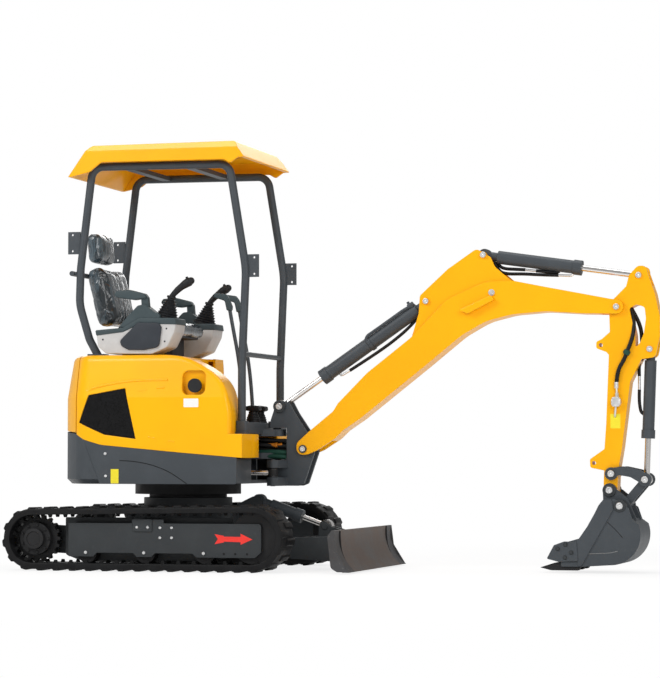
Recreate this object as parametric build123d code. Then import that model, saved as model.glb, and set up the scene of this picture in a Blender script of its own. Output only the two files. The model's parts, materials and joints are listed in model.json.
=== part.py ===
from build123d import *
import math
import os

# Mini excavator, modelled in millimetres: +X forward, +Y to the machine's left, +Z up.
# The points below are measured from the slew axis, on the ground. The whole machine is moved at
# the end, so that its origin lies under the middle of its box.
# An (x, z) point lies in the machine's side view and an (x, y) point in its plan.

# Clearances
PIN_FIT = 0.05
MOVE_GAP = 5.0
FACE_GAP = 0.3

# Tracks and their frames
TRACK_Y = 505.0
TRACK_WIDTH = 230.0
BELT_THICK = 28.0
LUG_HEIGHT = 14.0
LUG_LENGTH = 46.0
LUG_COUNT = 38
REAR_WHEEL = (-692.0, 172.0)
FRONT_WHEEL = (556.0, 181.0)
ROLLER_X = (-395.0, -61.0, 278.0)
ROLLER_R = 55.0
ROLLER_WIDTH = 92.0
TOP_ROLLER_X = -40.0
SIDE_PLATE = 12.0
SIDE_FRAME_WIDTH = 130.0
SIDE_FRAME_TOP = 259.0
SIDE_FRAME_LOW = 77.0
SCALLOP = 21.0
SCALLOP_SIDE = 42.0
MOTOR_R = 88.0
SPROCKET_WIDTH = 34.0
SPROCKET_TEETH = 19
TOOTH_DEPTH = 16.0

# Lower frame and slew ring
CROSS_TUBE_X = (-210.0, 210.0)
CROSS_TUBE = (110.0, 96.0)
CROSS_TUBE_Z = 175.0
CENTRE_BOX = (620.0, 460.0)
CENTRE_BOX_LOW = 150.0
CENTRE_BOX_TOP = 345.0
RING_R = 247.0
RING_TOP = 392.0
COLLAR_R = 296.0
COLLAR_LOW = 412.0
HOUSE_LOW = 470.0

# Dozer blade
BLADE_PIVOT = (400.0, 150.0)
BLADE_ARM_Y = 150.0
BLADE_ARM = (46.0, 90.0)
BLADE_LOW = 8.0
BLADE_TOP = 228.0
BLADE_TIP_X = 1108.0
BLADE_PLATE = 14.0
BLADE_HALF = 495.0
BLADE_FLAP = 130.0
BLADE_CYL_BASE = (420.0, 375.0)
BLADE_CYL_EYE = (806.0, 236.0)

# House plan
HOUSE_HALF = 490.0
TAIL_R = 674.0
CORNER_R = 120.0
HOUSE_TOP = 1176.0
WAIST_Z = 940.0
WAIST_LEAN = 9.5
TOP_ROUND = 40.0
SKIRT_TOP_REAR = 712.0
SEAM_TOP_X = -442.0
SEAM_LOW_X = -347.0
PANEL = 14.0
DECK_Z = 1174.0
FLOOR_Z = 742.0
FRONT_X = 467.0
SKIRT_FRONT_X = 436.0
STEP_LOW = 612.0
COVER_FRONT = 400.0
COVER_INNER = 300.0
WEIGHT_TOP = 768.0
WEIGHT_WALL = 95.0
KING_X = 520.0
KING_R = 22.0
NOSE_R = 50.0
NOSE_TOP = 770.0
NOSE_LOW = 606.0

# Boom swing bracket, boom, arm and bucket: pin centres in the side view
BOOM_FOOT = (689.0, 661.0)
BOOM_CYL_EYE = (549.0, 896.0)
BOOM_CYL_BASE = (1384.0, 1467.0)
ARM_CYL_BASE = (1704.0, 1714.0)
ARM_CYL_EYE = (2551.0, 1590.0)
ARM_PIVOT = (2434.0, 1421.0)
BUCKET_CYL_BASE = (2609.0, 1194.0)
LINK_PIN = (2582.0, 497.0)
GUIDE_PIN = (2401.0, 528.0)
BUCKET_PIN = (2395.0, 440.0)
BUCKET_LINK_PIN = (2463.0, 358.0)
THUMB_UPPER = (2345.0, 1217.0)
THUMB_LOWER = (2306.0, 585.0)

BRACKET_HALF = 54.0
BRACKET_PLATE = 18.0
BOOM_HALF = 75.0
GUSSET_HALF = 56.0
GUSSET_PLATE = 12.0
ARM_HALF = 50.0
EYE_HALF = 26.0
EYE_R = 36.0
EAR_INNER = 76.0
EAR_PLATE = 16.0
GUIDE_INNER = 56.0
GUIDE_PLATE = 14.0
PIN_R = 17.0
BUCKET_HALF = 172.0

# Cylinders
BARREL_R = 39.0
ROD_R = 17.0
ROD_FIT = 0.2
GLAND_LENGTH = 46.0
GLAND_STEP = 5.0

# Swing cylinder, in plan
SWING_CYL_BASE = (-60.0, -200.0)
SWING_LUG = (537.0, -140.0)
SWING_CYL_Z = 531.0

# Canopy
POST_R = 22.0
POST_Y = 365.0
POST_FOOT = 40.0
TAB_HALF = 36.0
TAB_HOLE_R = 6.0
TAB_PITCH = 90.0
TAB_REAR = (-546.0, 1802.0)
TAB_FRONT = (488.0, 1658.0)
ROOF_HALF = 440.0
ROOF_TOP = 2342.0
ROOF_BAND = 2304.0
ROOF_SLOPE = 56.0
ROOF_WALL = 12.0

# Rear hood
HOOD_SEAM = -500.0
HOOD_GAP = 5.5
HOOD_HINGE = (-455.0, 1168.0)
HOOD_ARM_HALF = 200.0

# Bucket
BUCKET_WALL = 10.0
BUCKET_BACK = (2413.0, 205.0)
BUCKET_BACK_R = 161.0
STRIP = 6.0
CUTTER = 10.0
TOOTH_COUNT = 3
TOOTH_HALF = 26.0

# Longer than the machine is wide or high, for cuts that pass right through
THROUGH = 3000.0

nodes = {}


def box(x0, x1, y0, y1, z0, z1):
    return Pos((x0 + x1) / 2, (y0 + y1) / 2, (z0 + z1) / 2) * Box(x1 - x0, y1 - y0, z1 - z0)


def outline(points):
    """A closed face through points; a third number is the corner's radius."""
    face = make_face(Polyline([(p[0], p[1]) for p in points], close=True))
    for radius in sorted({p[2] for p in points if len(p) > 2}):
        corners = [Vector(p[0], p[1]) for p in points if len(p) > 2 and p[2] == radius]
        picked = [v for v in face.vertices() if min((Vector(v) - c).length for c in corners) < 0.01]
        face = fillet(picked, radius)
    return face


def plate(points, y0, y1):
    """A side-view outline from y0 to y1."""
    return extrude(Plane.XZ.offset(-y1) * outline(points), y1 - y0)


def slab(points, z0, z1):
    """A plan outline from z0 to z1."""
    return extrude(Plane.XY.offset(z0) * outline(points), z1 - z0)


def disc_y(centre, radius, y0, y1):
    plane = Plane(origin=(centre[0], y0, centre[1]), z_dir=(0, 1, 0))
    return plane * Cylinder(radius, y1 - y0, align=(Align.CENTER, Align.CENTER, Align.MIN))


def disc_z(x, y, radius, z0, z1):
    return Pos(x, y, z0) * Cylinder(radius, z1 - z0, align=(Align.CENTER, Align.CENTER, Align.MIN))


def bar(start, end, radius):
    """A round bar between two points of space."""
    start, end = Vector(*start), Vector(*end)
    plane = Plane(origin=start, z_dir=end - start)
    return plane * Cylinder(radius, (end - start).length, align=(Align.CENTER, Align.CENTER, Align.MIN))


def both(shape):
    """The shape and its mirror image on the machine's other side."""
    return shape + mirror(shape, about=Plane.XZ)


def other(shape):
    return mirror(shape, about=Plane.XZ)


def side_plates(points, inner, outer):
    return both(plate(points, inner, outer))


def bosses(centre, radius, inner, outer):
    return both(disc_y(centre, radius, inner, outer))


def along(start, end, distance):
    """The point at a distance from start towards end."""
    length = math.dist(start, end)
    return tuple(s + (e - s) * distance / length for s, e in zip(start, end))


def cylinder_pair(base, eye, barrel_length, inside, stroke_in, to_space, lift, barrel_r=BARREL_R, rod_r=ROD_R,
                  half=EYE_HALF, eye_r=EYE_R, pin_r=PIN_R):
    """A hydraulic cylinder's barrel and rod, from its base pin to its rod eye.

    inside is the rod's length in the barrel as posed, and stroke_in is how much further it goes in.
    to_space turns a point of the cylinder's own plane into a point of space, and lift is the
    direction of its pins.
    """
    def at(distance):
        return to_space(along(base, eye, distance))

    def eye_disc(centre, radius, reach):
        plane = Plane(origin=Vector(*to_space(centre)) - lift * reach, z_dir=lift)
        return plane * Cylinder(radius, 2 * reach, align=(Align.CENTER, Align.CENTER, Align.MIN))

    gap = math.dist(base, eye)
    barrel = bar(at(eye_r * 2), at(barrel_length - GLAND_LENGTH), barrel_r)
    barrel += bar(at(eye_r * 0.6), at(eye_r * 2 + 1), half - 2)
    barrel += bar(at(barrel_length - GLAND_LENGTH), at(barrel_length), barrel_r + GLAND_STEP)
    barrel += eye_disc(base, eye_r, half)
    barrel -= bar(at(barrel_length - inside - stroke_in), at(barrel_length + 1), rod_r + ROD_FIT)
    barrel -= eye_disc(base, pin_r + PIN_FIT, half + 1)
    rod = bar(at(barrel_length - inside), at(gap - eye_r * 0.6), rod_r) + eye_disc(eye, eye_r, half)
    return barrel, rod - eye_disc(eye, pin_r + PIN_FIT, half + 1)


def side_view(point):
    return (point[0], 0, point[1])


def stadium(rear_r, front_r, y0, y1):
    """A belt shape round the rear and front wheels, as a solid from y0 to y1."""
    dx, dz = FRONT_WHEEL[0] - REAR_WHEEL[0], FRONT_WHEEL[1] - REAR_WHEEL[1]
    tilt = math.asin((front_r - rear_r) / math.hypot(dx, dz))
    slope = math.atan2(dz, dx)
    up, down = slope + math.pi / 2 + tilt, slope - math.pi / 2 - tilt

    def at(centre, radius, angle):
        return (centre[0] + radius * math.cos(angle), centre[1] + radius * math.sin(angle))

    back = at(REAR_WHEEL, rear_r, math.pi + slope)
    nose = at(FRONT_WHEEL, front_r, slope)
    edges = [Line(at(REAR_WHEEL, rear_r, up), at(FRONT_WHEEL, front_r, up)),
             ThreePointArc(at(FRONT_WHEEL, front_r, up), nose, at(FRONT_WHEEL, front_r, down)),
             Line(at(FRONT_WHEEL, front_r, down), at(REAR_WHEEL, rear_r, down)),
             ThreePointArc(at(REAR_WHEEL, rear_r, down), back, at(REAR_WHEEL, rear_r, up))]
    return extrude(Plane.XZ.offset(-y1) * make_face(edges), y1 - y0)


# The tracks: one loop of rubber with its lugs
rear_belt_r = REAR_WHEEL[1] - LUG_HEIGHT
front_belt_r = FRONT_WHEEL[1] - LUG_HEIGHT
track_in = -TRACK_Y + TRACK_WIDTH / 2
track_out = -TRACK_Y - TRACK_WIDTH / 2


def lug_places():
    """Each lug's foot on the belt and its outward angle, evenly round the loop."""
    run = math.dist(REAR_WHEEL, FRONT_WHEEL)
    lengths = [run, math.pi * front_belt_r, run, math.pi * rear_belt_r]
    pitch = sum(lengths) / LUG_COUNT
    slope = math.atan2(front_belt_r - rear_belt_r, run)
    for step in range(LUG_COUNT * 2):
        s = step * pitch / 2
        if s < lengths[0]:
            yield step, REAR_WHEEL[0] + s, 2 * rear_belt_r + LUG_HEIGHT + s * math.tan(2 * slope), 90
            continue
        s -= lengths[0]
        if s < lengths[1]:
            turn = 90 - math.degrees(s / front_belt_r)
            yield (step, FRONT_WHEEL[0] + front_belt_r * math.cos(math.radians(turn)),
                   FRONT_WHEEL[1] + front_belt_r * math.sin(math.radians(turn)), turn)
            continue
        s -= lengths[1]
        if s < lengths[2]:
            yield step, FRONT_WHEEL[0] - s, LUG_HEIGHT, -90
            continue
        s -= lengths[2]
        turn = 270 - math.degrees(s / rear_belt_r)
        yield (step, REAR_WHEEL[0] + rear_belt_r * math.cos(math.radians(turn)),
               REAR_WHEEL[1] + rear_belt_r * math.sin(math.radians(turn)), turn)


def track():
    belt = stadium(rear_belt_r, front_belt_r, track_out, track_in)
    belt -= stadium(rear_belt_r - BELT_THICK, front_belt_r - BELT_THICK, track_out - 1, track_in + 1)
    half = TRACK_WIDTH / 2 + 12
    lugs = []
    for step, x, z, turn in lug_places():
        y0 = track_out if step % 2 else track_in - half
        foot = [(-3, -LUG_LENGTH / 2), (LUG_HEIGHT, -LUG_LENGTH / 2 + 9), (LUG_HEIGHT, LUG_LENGTH / 2 - 9),
                (-3, LUG_LENGTH / 2)]
        block = extrude(Plane.XZ.offset(-y0 - half) * outline(foot), half)
        lugs.append(Pos(x, 0, z) * Rot(0, -turn, 0) * block)
    return belt + lugs


nodes["track_right"] = track()
nodes["track_left"] = other(nodes["track_right"])

# Track frames: a closed channel, open below where the rollers run
frame_in = -TRACK_Y + SIDE_FRAME_WIDTH / 2
frame_out = -TRACK_Y - SIDE_FRAME_WIDTH / 2
idler_r = front_belt_r - BELT_THICK - FACE_GAP
sprocket_r = rear_belt_r - BELT_THICK - FACE_GAP
roller_z = LUG_HEIGHT + BELT_THICK + FACE_GAP + ROLLER_R
frame_rear = REAR_WHEEL[0] + sprocket_r + 66
frame_front = FRONT_WHEEL[0] + 44


def frame_side(y0, y1):
    low = SIDE_FRAME_LOW
    face = [(frame_rear, SIDE_FRAME_TOP, 6), (frame_front, SIDE_FRAME_TOP, 16), (frame_front, low + 30, 10),
            (frame_front - 34, low, 10)]
    for left, right in reversed(list(zip(ROLLER_X[:-1], ROLLER_X[1:]))):
        face += [(right - SCALLOP_SIDE, low), (right - SCALLOP_SIDE - SCALLOP, low + SCALLOP, 8),
                 (left + SCALLOP_SIDE + SCALLOP, low + SCALLOP, 8), (left + SCALLOP_SIDE, low)]
    face += [(frame_rear, low, 6)]
    return plate(face, y0, y1)


frame_right = frame_side(frame_out, frame_out + SIDE_PLATE) + frame_side(frame_in - SIDE_PLATE, frame_in)
frame_right += box(frame_rear + 10, FRONT_WHEEL[0] - idler_r - 20, frame_out, frame_in,
                   SIDE_FRAME_TOP - SIDE_PLATE, SIDE_FRAME_TOP)
frame_right += plate([(frame_rear + 1, SIDE_FRAME_TOP - 20), (REAR_WHEEL[0], REAR_WHEEL[1] + MOTOR_R - 12),
                      (REAR_WHEEL[0], REAR_WHEEL[1] - MOTOR_R + 12), (frame_rear + 60, SIDE_FRAME_LOW + 6)],
                     frame_in - SIDE_PLATE, frame_in)
frame_right += disc_y(REAR_WHEEL, MOTOR_R - 8, frame_in - SIDE_PLATE, frame_in)
frame_right += box(TOP_ROLLER_X - 90, TOP_ROLLER_X + 90, frame_out, frame_out + SIDE_PLATE, 200, 280)
nodes["track_frame_right"] = frame_right
nodes["track_frame_left"] = other(frame_right)


def sprocket():
    mid = -TRACK_Y
    root = sprocket_r - TOOTH_DEPTH
    wheel = disc_y(REAR_WHEEL, root, mid - SPROCKET_WIDTH / 2, mid + SPROCKET_WIDTH / 2)
    teeth = []
    for count in range(SPROCKET_TEETH):
        tooth = plate([(root - 6, -13), (sprocket_r, -6), (sprocket_r, 6), (root - 6, 13)],
                      mid - SPROCKET_WIDTH / 2, mid + SPROCKET_WIDTH / 2)
        teeth.append(Pos(REAR_WHEEL[0], 0, REAR_WHEEL[1]) * Rot(0, 360 * count / SPROCKET_TEETH, 0) * tooth)
    wheel = wheel + teeth
    wheel += disc_y(REAR_WHEEL, MOTOR_R, frame_out + 6, frame_in - SIDE_PLATE)
    return wheel + disc_y(REAR_WHEEL, MOTOR_R - 30, frame_out - 14, frame_out + 8)


nodes["sprocket_right"] = sprocket()
nodes["sprocket_left"] = other(nodes["sprocket_right"])


def rollers():
    half = ROLLER_WIDTH / 2
    inside = SIDE_FRAME_WIDTH / 2 - SIDE_PLATE
    wheels = []
    for x in ROLLER_X:
        wheels.append(disc_y((x, roller_z), ROLLER_R, -TRACK_Y - half, -TRACK_Y + half))
        wheels.append(disc_y((x, roller_z), 20, -TRACK_Y - inside, -TRACK_Y + inside))
    wheels.append(disc_y(FRONT_WHEEL, idler_r, -TRACK_Y - half, -TRACK_Y + half))
    wheels.append(disc_y(FRONT_WHEEL, 34, -TRACK_Y - inside, -TRACK_Y + inside))
    return Part() + wheels


nodes["rollers_right"] = rollers()
nodes["rollers_left"] = other(nodes["rollers_right"])

# Lower frame: centre box, cross tubes to the track frames, slew ring and the blade's lugs
box_x, box_y = CENTRE_BOX[0] / 2, CENTRE_BOX[1] / 2
lower = slab([(-box_x, -box_y, 60), (box_x, -box_y, 60), (box_x, box_y, 60), (-box_x, box_y, 60)],
             CENTRE_BOX_LOW, CENTRE_BOX_TOP)
for x in CROSS_TUBE_X:
    lower += box(x - CROSS_TUBE[0] / 2, x + CROSS_TUBE[0] / 2, frame_in, -frame_in,
                 CROSS_TUBE_Z - CROSS_TUBE[1] / 2 + 20, CROSS_TUBE_Z + CROSS_TUBE[1] / 2 + 20)
lower += disc_z(0, 0, RING_R, CENTRE_BOX_TOP, RING_TOP)
blade_lug = [(box_x - 20, 250), (BLADE_PIVOT[0] + 10, BLADE_PIVOT[1] + 34, 20),
             (BLADE_PIVOT[0] + 34, BLADE_PIVOT[1], 20), (BLADE_PIVOT[0] + 10, BLADE_PIVOT[1] - 34, 20),
             (box_x - 20, CENTRE_BOX_LOW)]
arm_gap = BLADE_ARM[0] / 2 + MOVE_GAP
for y in (BLADE_ARM_Y, -BLADE_ARM_Y):
    lower += plate(blade_lug, y - arm_gap - 14, y - arm_gap)
    lower += plate(blade_lug, y + arm_gap, y + arm_gap + 14)
    lower += disc_y(BLADE_PIVOT, PIN_R, y - arm_gap - 14, y + arm_gap + 14)
cyl_lug = [(box_x - 30, 210), (box_x - 30, CENTRE_BOX_TOP), (BLADE_CYL_BASE[0] - 30, 398, 10),
           (BLADE_CYL_BASE[0] + 24, 398, 20), (BLADE_CYL_BASE[0] + 24, 350, 20), (box_x + 40, 210)]
lower += side_plates(cyl_lug, EYE_HALF + 2, EYE_HALF + 16)
lower += disc_y(BLADE_CYL_BASE, PIN_R, -EYE_HALF - 16, EYE_HALF + 16)
nodes["lower_frame"] = lower

# Dozer blade: mouldboard with sliding ends, arms and its cylinder's lug
BLADE_LEAN = 92.0
blade_mid = (BLADE_LOW + BLADE_TOP) / 2
blade_top_x = BLADE_TIP_X - BLADE_LEAN
blade_back_arc = ThreePointArc((blade_top_x - BLADE_PLATE, BLADE_TOP), (blade_top_x + 12 - BLADE_PLATE, blade_mid - 14),
                               (BLADE_TIP_X - 30 - BLADE_PLATE, BLADE_LOW))


def blade_run(y0, y1):
    """A length of the curved mouldboard."""
    front = ThreePointArc((BLADE_TIP_X - 6, BLADE_LOW), (blade_top_x + 14, blade_mid - 10), (blade_top_x, BLADE_TOP))
    section = make_face([front, Line((blade_top_x, BLADE_TOP), (blade_top_x - BLADE_PLATE, BLADE_TOP)), blade_back_arc,
                         Line((BLADE_TIP_X - 30 - BLADE_PLATE, BLADE_LOW), (BLADE_TIP_X - 6, BLADE_LOW))])
    return extrude(Plane.XZ.offset(-y1) * section, y1 - y0)


def ahead_of_blade(reach):
    """Everything from the back of the mouldboard forward, to trim what meets it."""
    far = BLADE_TIP_X + reach
    section = make_face([blade_back_arc, Line((BLADE_TIP_X - 30 - BLADE_PLATE, BLADE_LOW), (far, BLADE_LOW)),
                         Line((far, BLADE_LOW), (far, BLADE_TOP)),
                         Line((far, BLADE_TOP), (blade_top_x - BLADE_PLATE, BLADE_TOP))])
    return extrude(Plane.XZ.offset(-BLADE_HALF) * section, 2 * BLADE_HALF)


board = blade_run(-BLADE_HALF, BLADE_HALF)
nodes["dozer_blade"] = board
blade_flap_x = blade_top_x - 31
flap = blade_run(-BLADE_HALF - BLADE_FLAP, -BLADE_HALF)
flap += plate([(blade_flap_x + 15, 30, 30), (blade_flap_x - 4, 200, 20), (blade_flap_x + 20, BLADE_TOP),
               (BLADE_TIP_X - 92, BLADE_TOP - 1), (BLADE_TIP_X - 78, (BLADE_TOP + BLADE_LOW) / 2),
               (BLADE_TIP_X - 10, BLADE_LOW + 2), (blade_flap_x + 50, BLADE_LOW + 2, 20)],
              -BLADE_HALF - BLADE_FLAP, -BLADE_HALF - BLADE_FLAP + 12)
nodes["blade_ends"] = both(flap)

blade_back = BLADE_TIP_X - 82 - BLADE_PLATE
arm_side = plate([(BLADE_PIVOT[0] - 30, BLADE_PIVOT[1], 20), (BLADE_PIVOT[0], BLADE_PIVOT[1] + 38, 20),
                  (BLADE_PIVOT[0] + 120, BLADE_PIVOT[1] + 20), (blade_back + 8, 190), (blade_back + 30, 40),
                  (BLADE_PIVOT[0] + 260, 60), (BLADE_PIVOT[0], BLADE_PIVOT[1] - 38, 20)],
                 BLADE_ARM_Y - BLADE_ARM[0] / 2, BLADE_ARM_Y + BLADE_ARM[0] / 2)
arm_side -= disc_y(BLADE_PIVOT, PIN_R + PIN_FIT, BLADE_ARM_Y - 60, BLADE_ARM_Y + 60)
arms = both(arm_side)
arms += box(760, 810, -BLADE_ARM_Y, BLADE_ARM_Y, 90, 170)
eye_lug = [(765, 120), (BLADE_CYL_EYE[0] - 32, BLADE_CYL_EYE[1] + 6, 20),
           (BLADE_CYL_EYE[0], BLADE_CYL_EYE[1] + 34, 20),
           (BLADE_CYL_EYE[0] + 34, BLADE_CYL_EYE[1], 20), (blade_back + 10, 180), (blade_back + 20, 120)]
arms += side_plates(eye_lug, EYE_HALF + 6, EYE_HALF + 20)
arms += both(disc_y(BLADE_CYL_EYE, PIN_R, EYE_HALF + 6, EYE_HALF + 26))
arms -= ahead_of_blade(50)
nodes["blade_arms"] = arms

blade_barrel, blade_rod = cylinder_pair(BLADE_CYL_BASE, BLADE_CYL_EYE, 262, 112, 92, side_view, Vector(0, 1, 0),
                                        barrel_r=33, rod_r=15)
nodes["blade_cylinder_barrel"] = blade_barrel
nodes["blade_cylinder_rod"] = blade_rod

# House: collar, frame, counterweight and covers
COLLAR_TOP = HOUSE_LOW - FACE_GAP
HUB_R = RING_R - 30
nodes["turntable"] = disc_z(0, 0, COLLAR_R, COLLAR_LOW, COLLAR_TOP) + disc_z(0, 0, HUB_R, RING_TOP + 1, HOUSE_LOW)


def house_plan(inset=0):
    """Plan face of the house: a round tail between straight sides, up to the front."""
    half = HOUSE_HALF - inset
    tail = TAIL_R - inset
    corner = math.sqrt(tail ** 2 - half ** 2)
    edges = [ThreePointArc((-corner, half), (-tail, 0), (-corner, -half)),
             Line((-corner, -half), (FRONT_X - inset, -half)),
             Line((FRONT_X - inset, -half), (FRONT_X - inset, half)),
             Line((FRONT_X - inset, half), (-corner, half))]
    face = make_face(edges)
    return fillet([v for v in face.vertices() if v.X < 0], CORNER_R - inset)


def house_block(z0, z1, inset=0):
    return extrude(Plane.XY.offset(z0) * house_plan(inset), z1 - z0)


def house_body(z0, inset=0):
    """The house above z0: upright to the waist, then leaning in to its top."""
    top = HOUSE_TOP - inset
    upper = extrude(Plane.XY.offset(WAIST_Z) * house_plan(inset), top - WAIST_Z, taper=WAIST_LEAN)
    if not inset:
        rim = upper.faces().sort_by(Axis.Z)[-1]
        front = FRONT_X - (top - WAIST_Z) * math.tan(math.radians(WAIST_LEAN))
        upper = fillet([e for e in rim.edges() if e.center().X < front - 1], TOP_ROUND)
    return house_block(z0, WAIST_Z, inset) + upper


shell = house_body(WEIGHT_TOP - 60)
shell_inside = house_body(WEIGHT_TOP - 60, PANEL)
low_shell = house_block(HOUSE_LOW, WEIGHT_TOP)

# The line between the dark skirt below and the yellow covers above, from the front to the tail
seam_line = [(FRONT_X, STEP_LOW), (115, 641, 200), (-342, 683, 200), (SEAM_TOP_X, SKIRT_TOP_REAR, 60),
             (-500, 745, 60), (-TAIL_R - 80, WEIGHT_TOP)]
below_seam = seam_line + [(-TAIL_R - 80, HOUSE_LOW - 10), (FRONT_X, HOUSE_LOW - 10)]
above_seam = [(x, z + 1, *r) for x, z, *r in seam_line] + [(-TAIL_R - 80, HOUSE_TOP + 60),
                                                           (FRONT_X, HOUSE_TOP + 60)]

weight_face = [(-TAIL_R - 80, HOUSE_LOW), (SEAM_LOW_X, HOUSE_LOW), (SEAM_TOP_X, SKIRT_TOP_REAR), (-500, 745, 60),
               (-TAIL_R - 80, WEIGHT_TOP)]
weight = low_shell & plate(weight_face, -THROUGH, THROUGH)
low_rim = [e for e in weight.faces().sort_by(Axis.Z)[0].edges() if e.geom_type == GeomType.CIRCLE]
weight = chamfer(low_rim, 26)
weight -= house_block(HOUSE_LOW - 1, WEIGHT_TOP + 1, inset=WEIGHT_WALL)
nodes["counterweight"] = weight

skirt_face = [(SEAM_LOW_X + 1, HOUSE_LOW), (SKIRT_FRONT_X, HOUSE_LOW, 14), (SKIRT_FRONT_X, SKIRT_TOP_REAR),
              (SEAM_TOP_X + 1, SKIRT_TOP_REAR)]
skirt = plate(skirt_face, -HOUSE_HALF, -HOUSE_HALF + PANEL)
nodes["side_skirts"] = both(skirt & plate([(x, z - 1, *r) for x, z, *r in below_seam], -THROUGH, THROUGH))

NOSE_HALF = 76.0
NOSE_PLATE = 38.0
NOSE_LOW_PLATE = 34.0
FRAME_FRONT = 380.0
base_plan = [(-520, -220), (-380, -360), (FRAME_FRONT, -360, 60), (FRAME_FRONT, 360, 60), (-380, 360), (-520, 220)]
hub_hole = disc_z(0, 0, HUB_R + FACE_GAP, COLLAR_LOW, HOUSE_LOW + 30)
frame = slab(base_plan, HOUSE_LOW, HOUSE_LOW + 20) - hub_hole
frame += both(box(-FRAME_FRONT, FRAME_FRONT, -360, -340, HOUSE_LOW, 600))
frame += both(box(-300, FRAME_FRONT, NOSE_HALF - 16, NOSE_HALF, HOUSE_LOW, NOSE_TOP - 40))
frame += box(FRAME_FRONT - 60, FRAME_FRONT, -NOSE_HALF, NOSE_HALF, NOSE_LOW, NOSE_TOP)
for z0, z1 in ((NOSE_TOP - NOSE_PLATE, NOSE_TOP), (NOSE_LOW, NOSE_LOW + NOSE_LOW_PLATE)):
    frame += slab([(FRAME_FRONT - 60, -NOSE_HALF), (KING_X - 70, -NOSE_HALF), (KING_X, -NOSE_R), (KING_X, NOSE_R),
                   (KING_X - 70, NOSE_HALF), (FRAME_FRONT - 60, NOSE_HALF)], z0, z1)
    frame += disc_z(KING_X, 0, NOSE_R, z0, z1)
frame -= disc_z(KING_X, 0, KING_R + PIN_FIT, NOSE_LOW - 1, NOSE_TOP + 1)
nodes["house_frame"] = frame

# Yellow covers: the right and left side covers, with the step at the front
COVER_CURVE = [(156, 1150), (242, 1108), (322, 1050), (366, 990), (392, 899)]


def cover_side(inset):
    """Side-view face of a cover: flat top, curved front and the step, all moved in by inset."""
    top = HOUSE_TOP - inset
    path = [(-60, top)]
    for before, (x, z), after in zip(COVER_CURVE[:1] + COVER_CURVE, COVER_CURVE, COVER_CURVE[1:] + COVER_CURVE[-1:]):
        dx, dz = after[0] - before[0], after[1] - before[1]
        run = math.hypot(dx, dz)
        path.append((x + inset * dz / run, z - inset * dx / run))
    path.append((COVER_FRONT - inset, FLOOR_Z - inset))
    front = FRONT_X - inset
    return make_face([Spline(path, tangents=[(1, 0), (0, -1)]),
                      Polyline(path[-1], (front, FLOOR_Z - inset), (front, HOUSE_LOW), (-THROUGH, HOUSE_LOW),
                               (-THROUGH, top), path[0])])


def side_region(face, y0, y1):
    return extrude(Plane.XZ.offset(-y1) * face, y1 - y0)


cover = shell + house_block(STEP_LOW - 60, WEIGHT_TOP)
cover &= side_region(cover_side(0), -THROUGH, -COVER_INNER)
front_edges = [e for e in cover.edges() if e.geom_type == GeomType.BSPLINE and e.center().Y < -COVER_INNER - 60]
cover = fillet(front_edges, 26)
cover -= plate(below_seam, -THROUGH, THROUGH)
cover -= box(-THROUGH, HOOD_SEAM + HOOD_GAP, -THROUGH, THROUGH, 0, THROUGH)
cover -= (shell_inside + house_block(STEP_LOW - 70, WEIGHT_TOP, PANEL)) & side_region(
    cover_side(PANEL), -HOUSE_HALF + PANEL, -COVER_INNER + 1)
grille_hole = [(-474, 805), (-413, 956), (-203, 992), (-139, 715), (-323, 739)]
nodes["side_cover_left"] = other(cover)
cover -= plate(grille_hole, -HOUSE_HALF - 1, -HOUSE_HALF + PANEL + 60)
nodes["side_grille"] = (house_block(700, 1000, 3) - house_block(700, 1000, 9)) & plate(
    [(-472, 805), (-412, 954), (-205, 990), (-141, 717), (-323, 741)], -THROUGH, -COVER_INNER)
FILLER = (190.0, 1020.0)
FILLER_HALF = 66.0
FILLER_DEEP = 44.0
CAP_R = 38.0
FILLER_WALL = 8.0


def around_filler(half, radius):
    return [(FILLER[0] + dx * half, FILLER[1] + dz * half, radius) for dx, dz in ((-1, -1), (1, -1), (1, 1), (-1, 1))]


cup = plate(around_filler(FILLER_HALF + FILLER_WALL, 42), -HOUSE_HALF, -HOUSE_HALF + FILLER_DEEP + FILLER_WALL)
cover = cover + (cup & shell) - plate(around_filler(FILLER_HALF, 34), -HOUSE_HALF - 1, -HOUSE_HALF + FILLER_DEEP)
nodes["side_cover_right"] = cover
cap = (FILLER[0] + 8, FILLER[1] - 16)
nodes["fuel_cap"] = disc_y(cap, CAP_R, -HOUSE_HALF - 4, -HOUSE_HALF + 14) + disc_y(
    cap, CAP_R - 12, -HOUSE_HALF + 14, -HOUSE_HALF + FILLER_DEEP)

# Deck under the seat and the operator's floor
DECK_REAR = -434.0
deck_face = [(DECK_REAR, WEIGHT_TOP - 8), (DECK_REAR, DECK_Z), (20, DECK_Z), (20, 780), (COVER_FRONT - PANEL, 780),
             (COVER_FRONT - PANEL, FLOOR_Z), (0, FLOOR_Z), (0, WEIGHT_TOP - 8)]
deck = plate(deck_face, -COVER_INNER + FACE_GAP, COVER_INNER - FACE_GAP)
deck -= box(DECK_REAR - 1, -16, -COVER_INNER - 1, COVER_INNER + 1, FLOOR_Z - 2, DECK_Z - 20)
nodes["seat_deck"] = deck - nodes["house_frame"]

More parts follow.
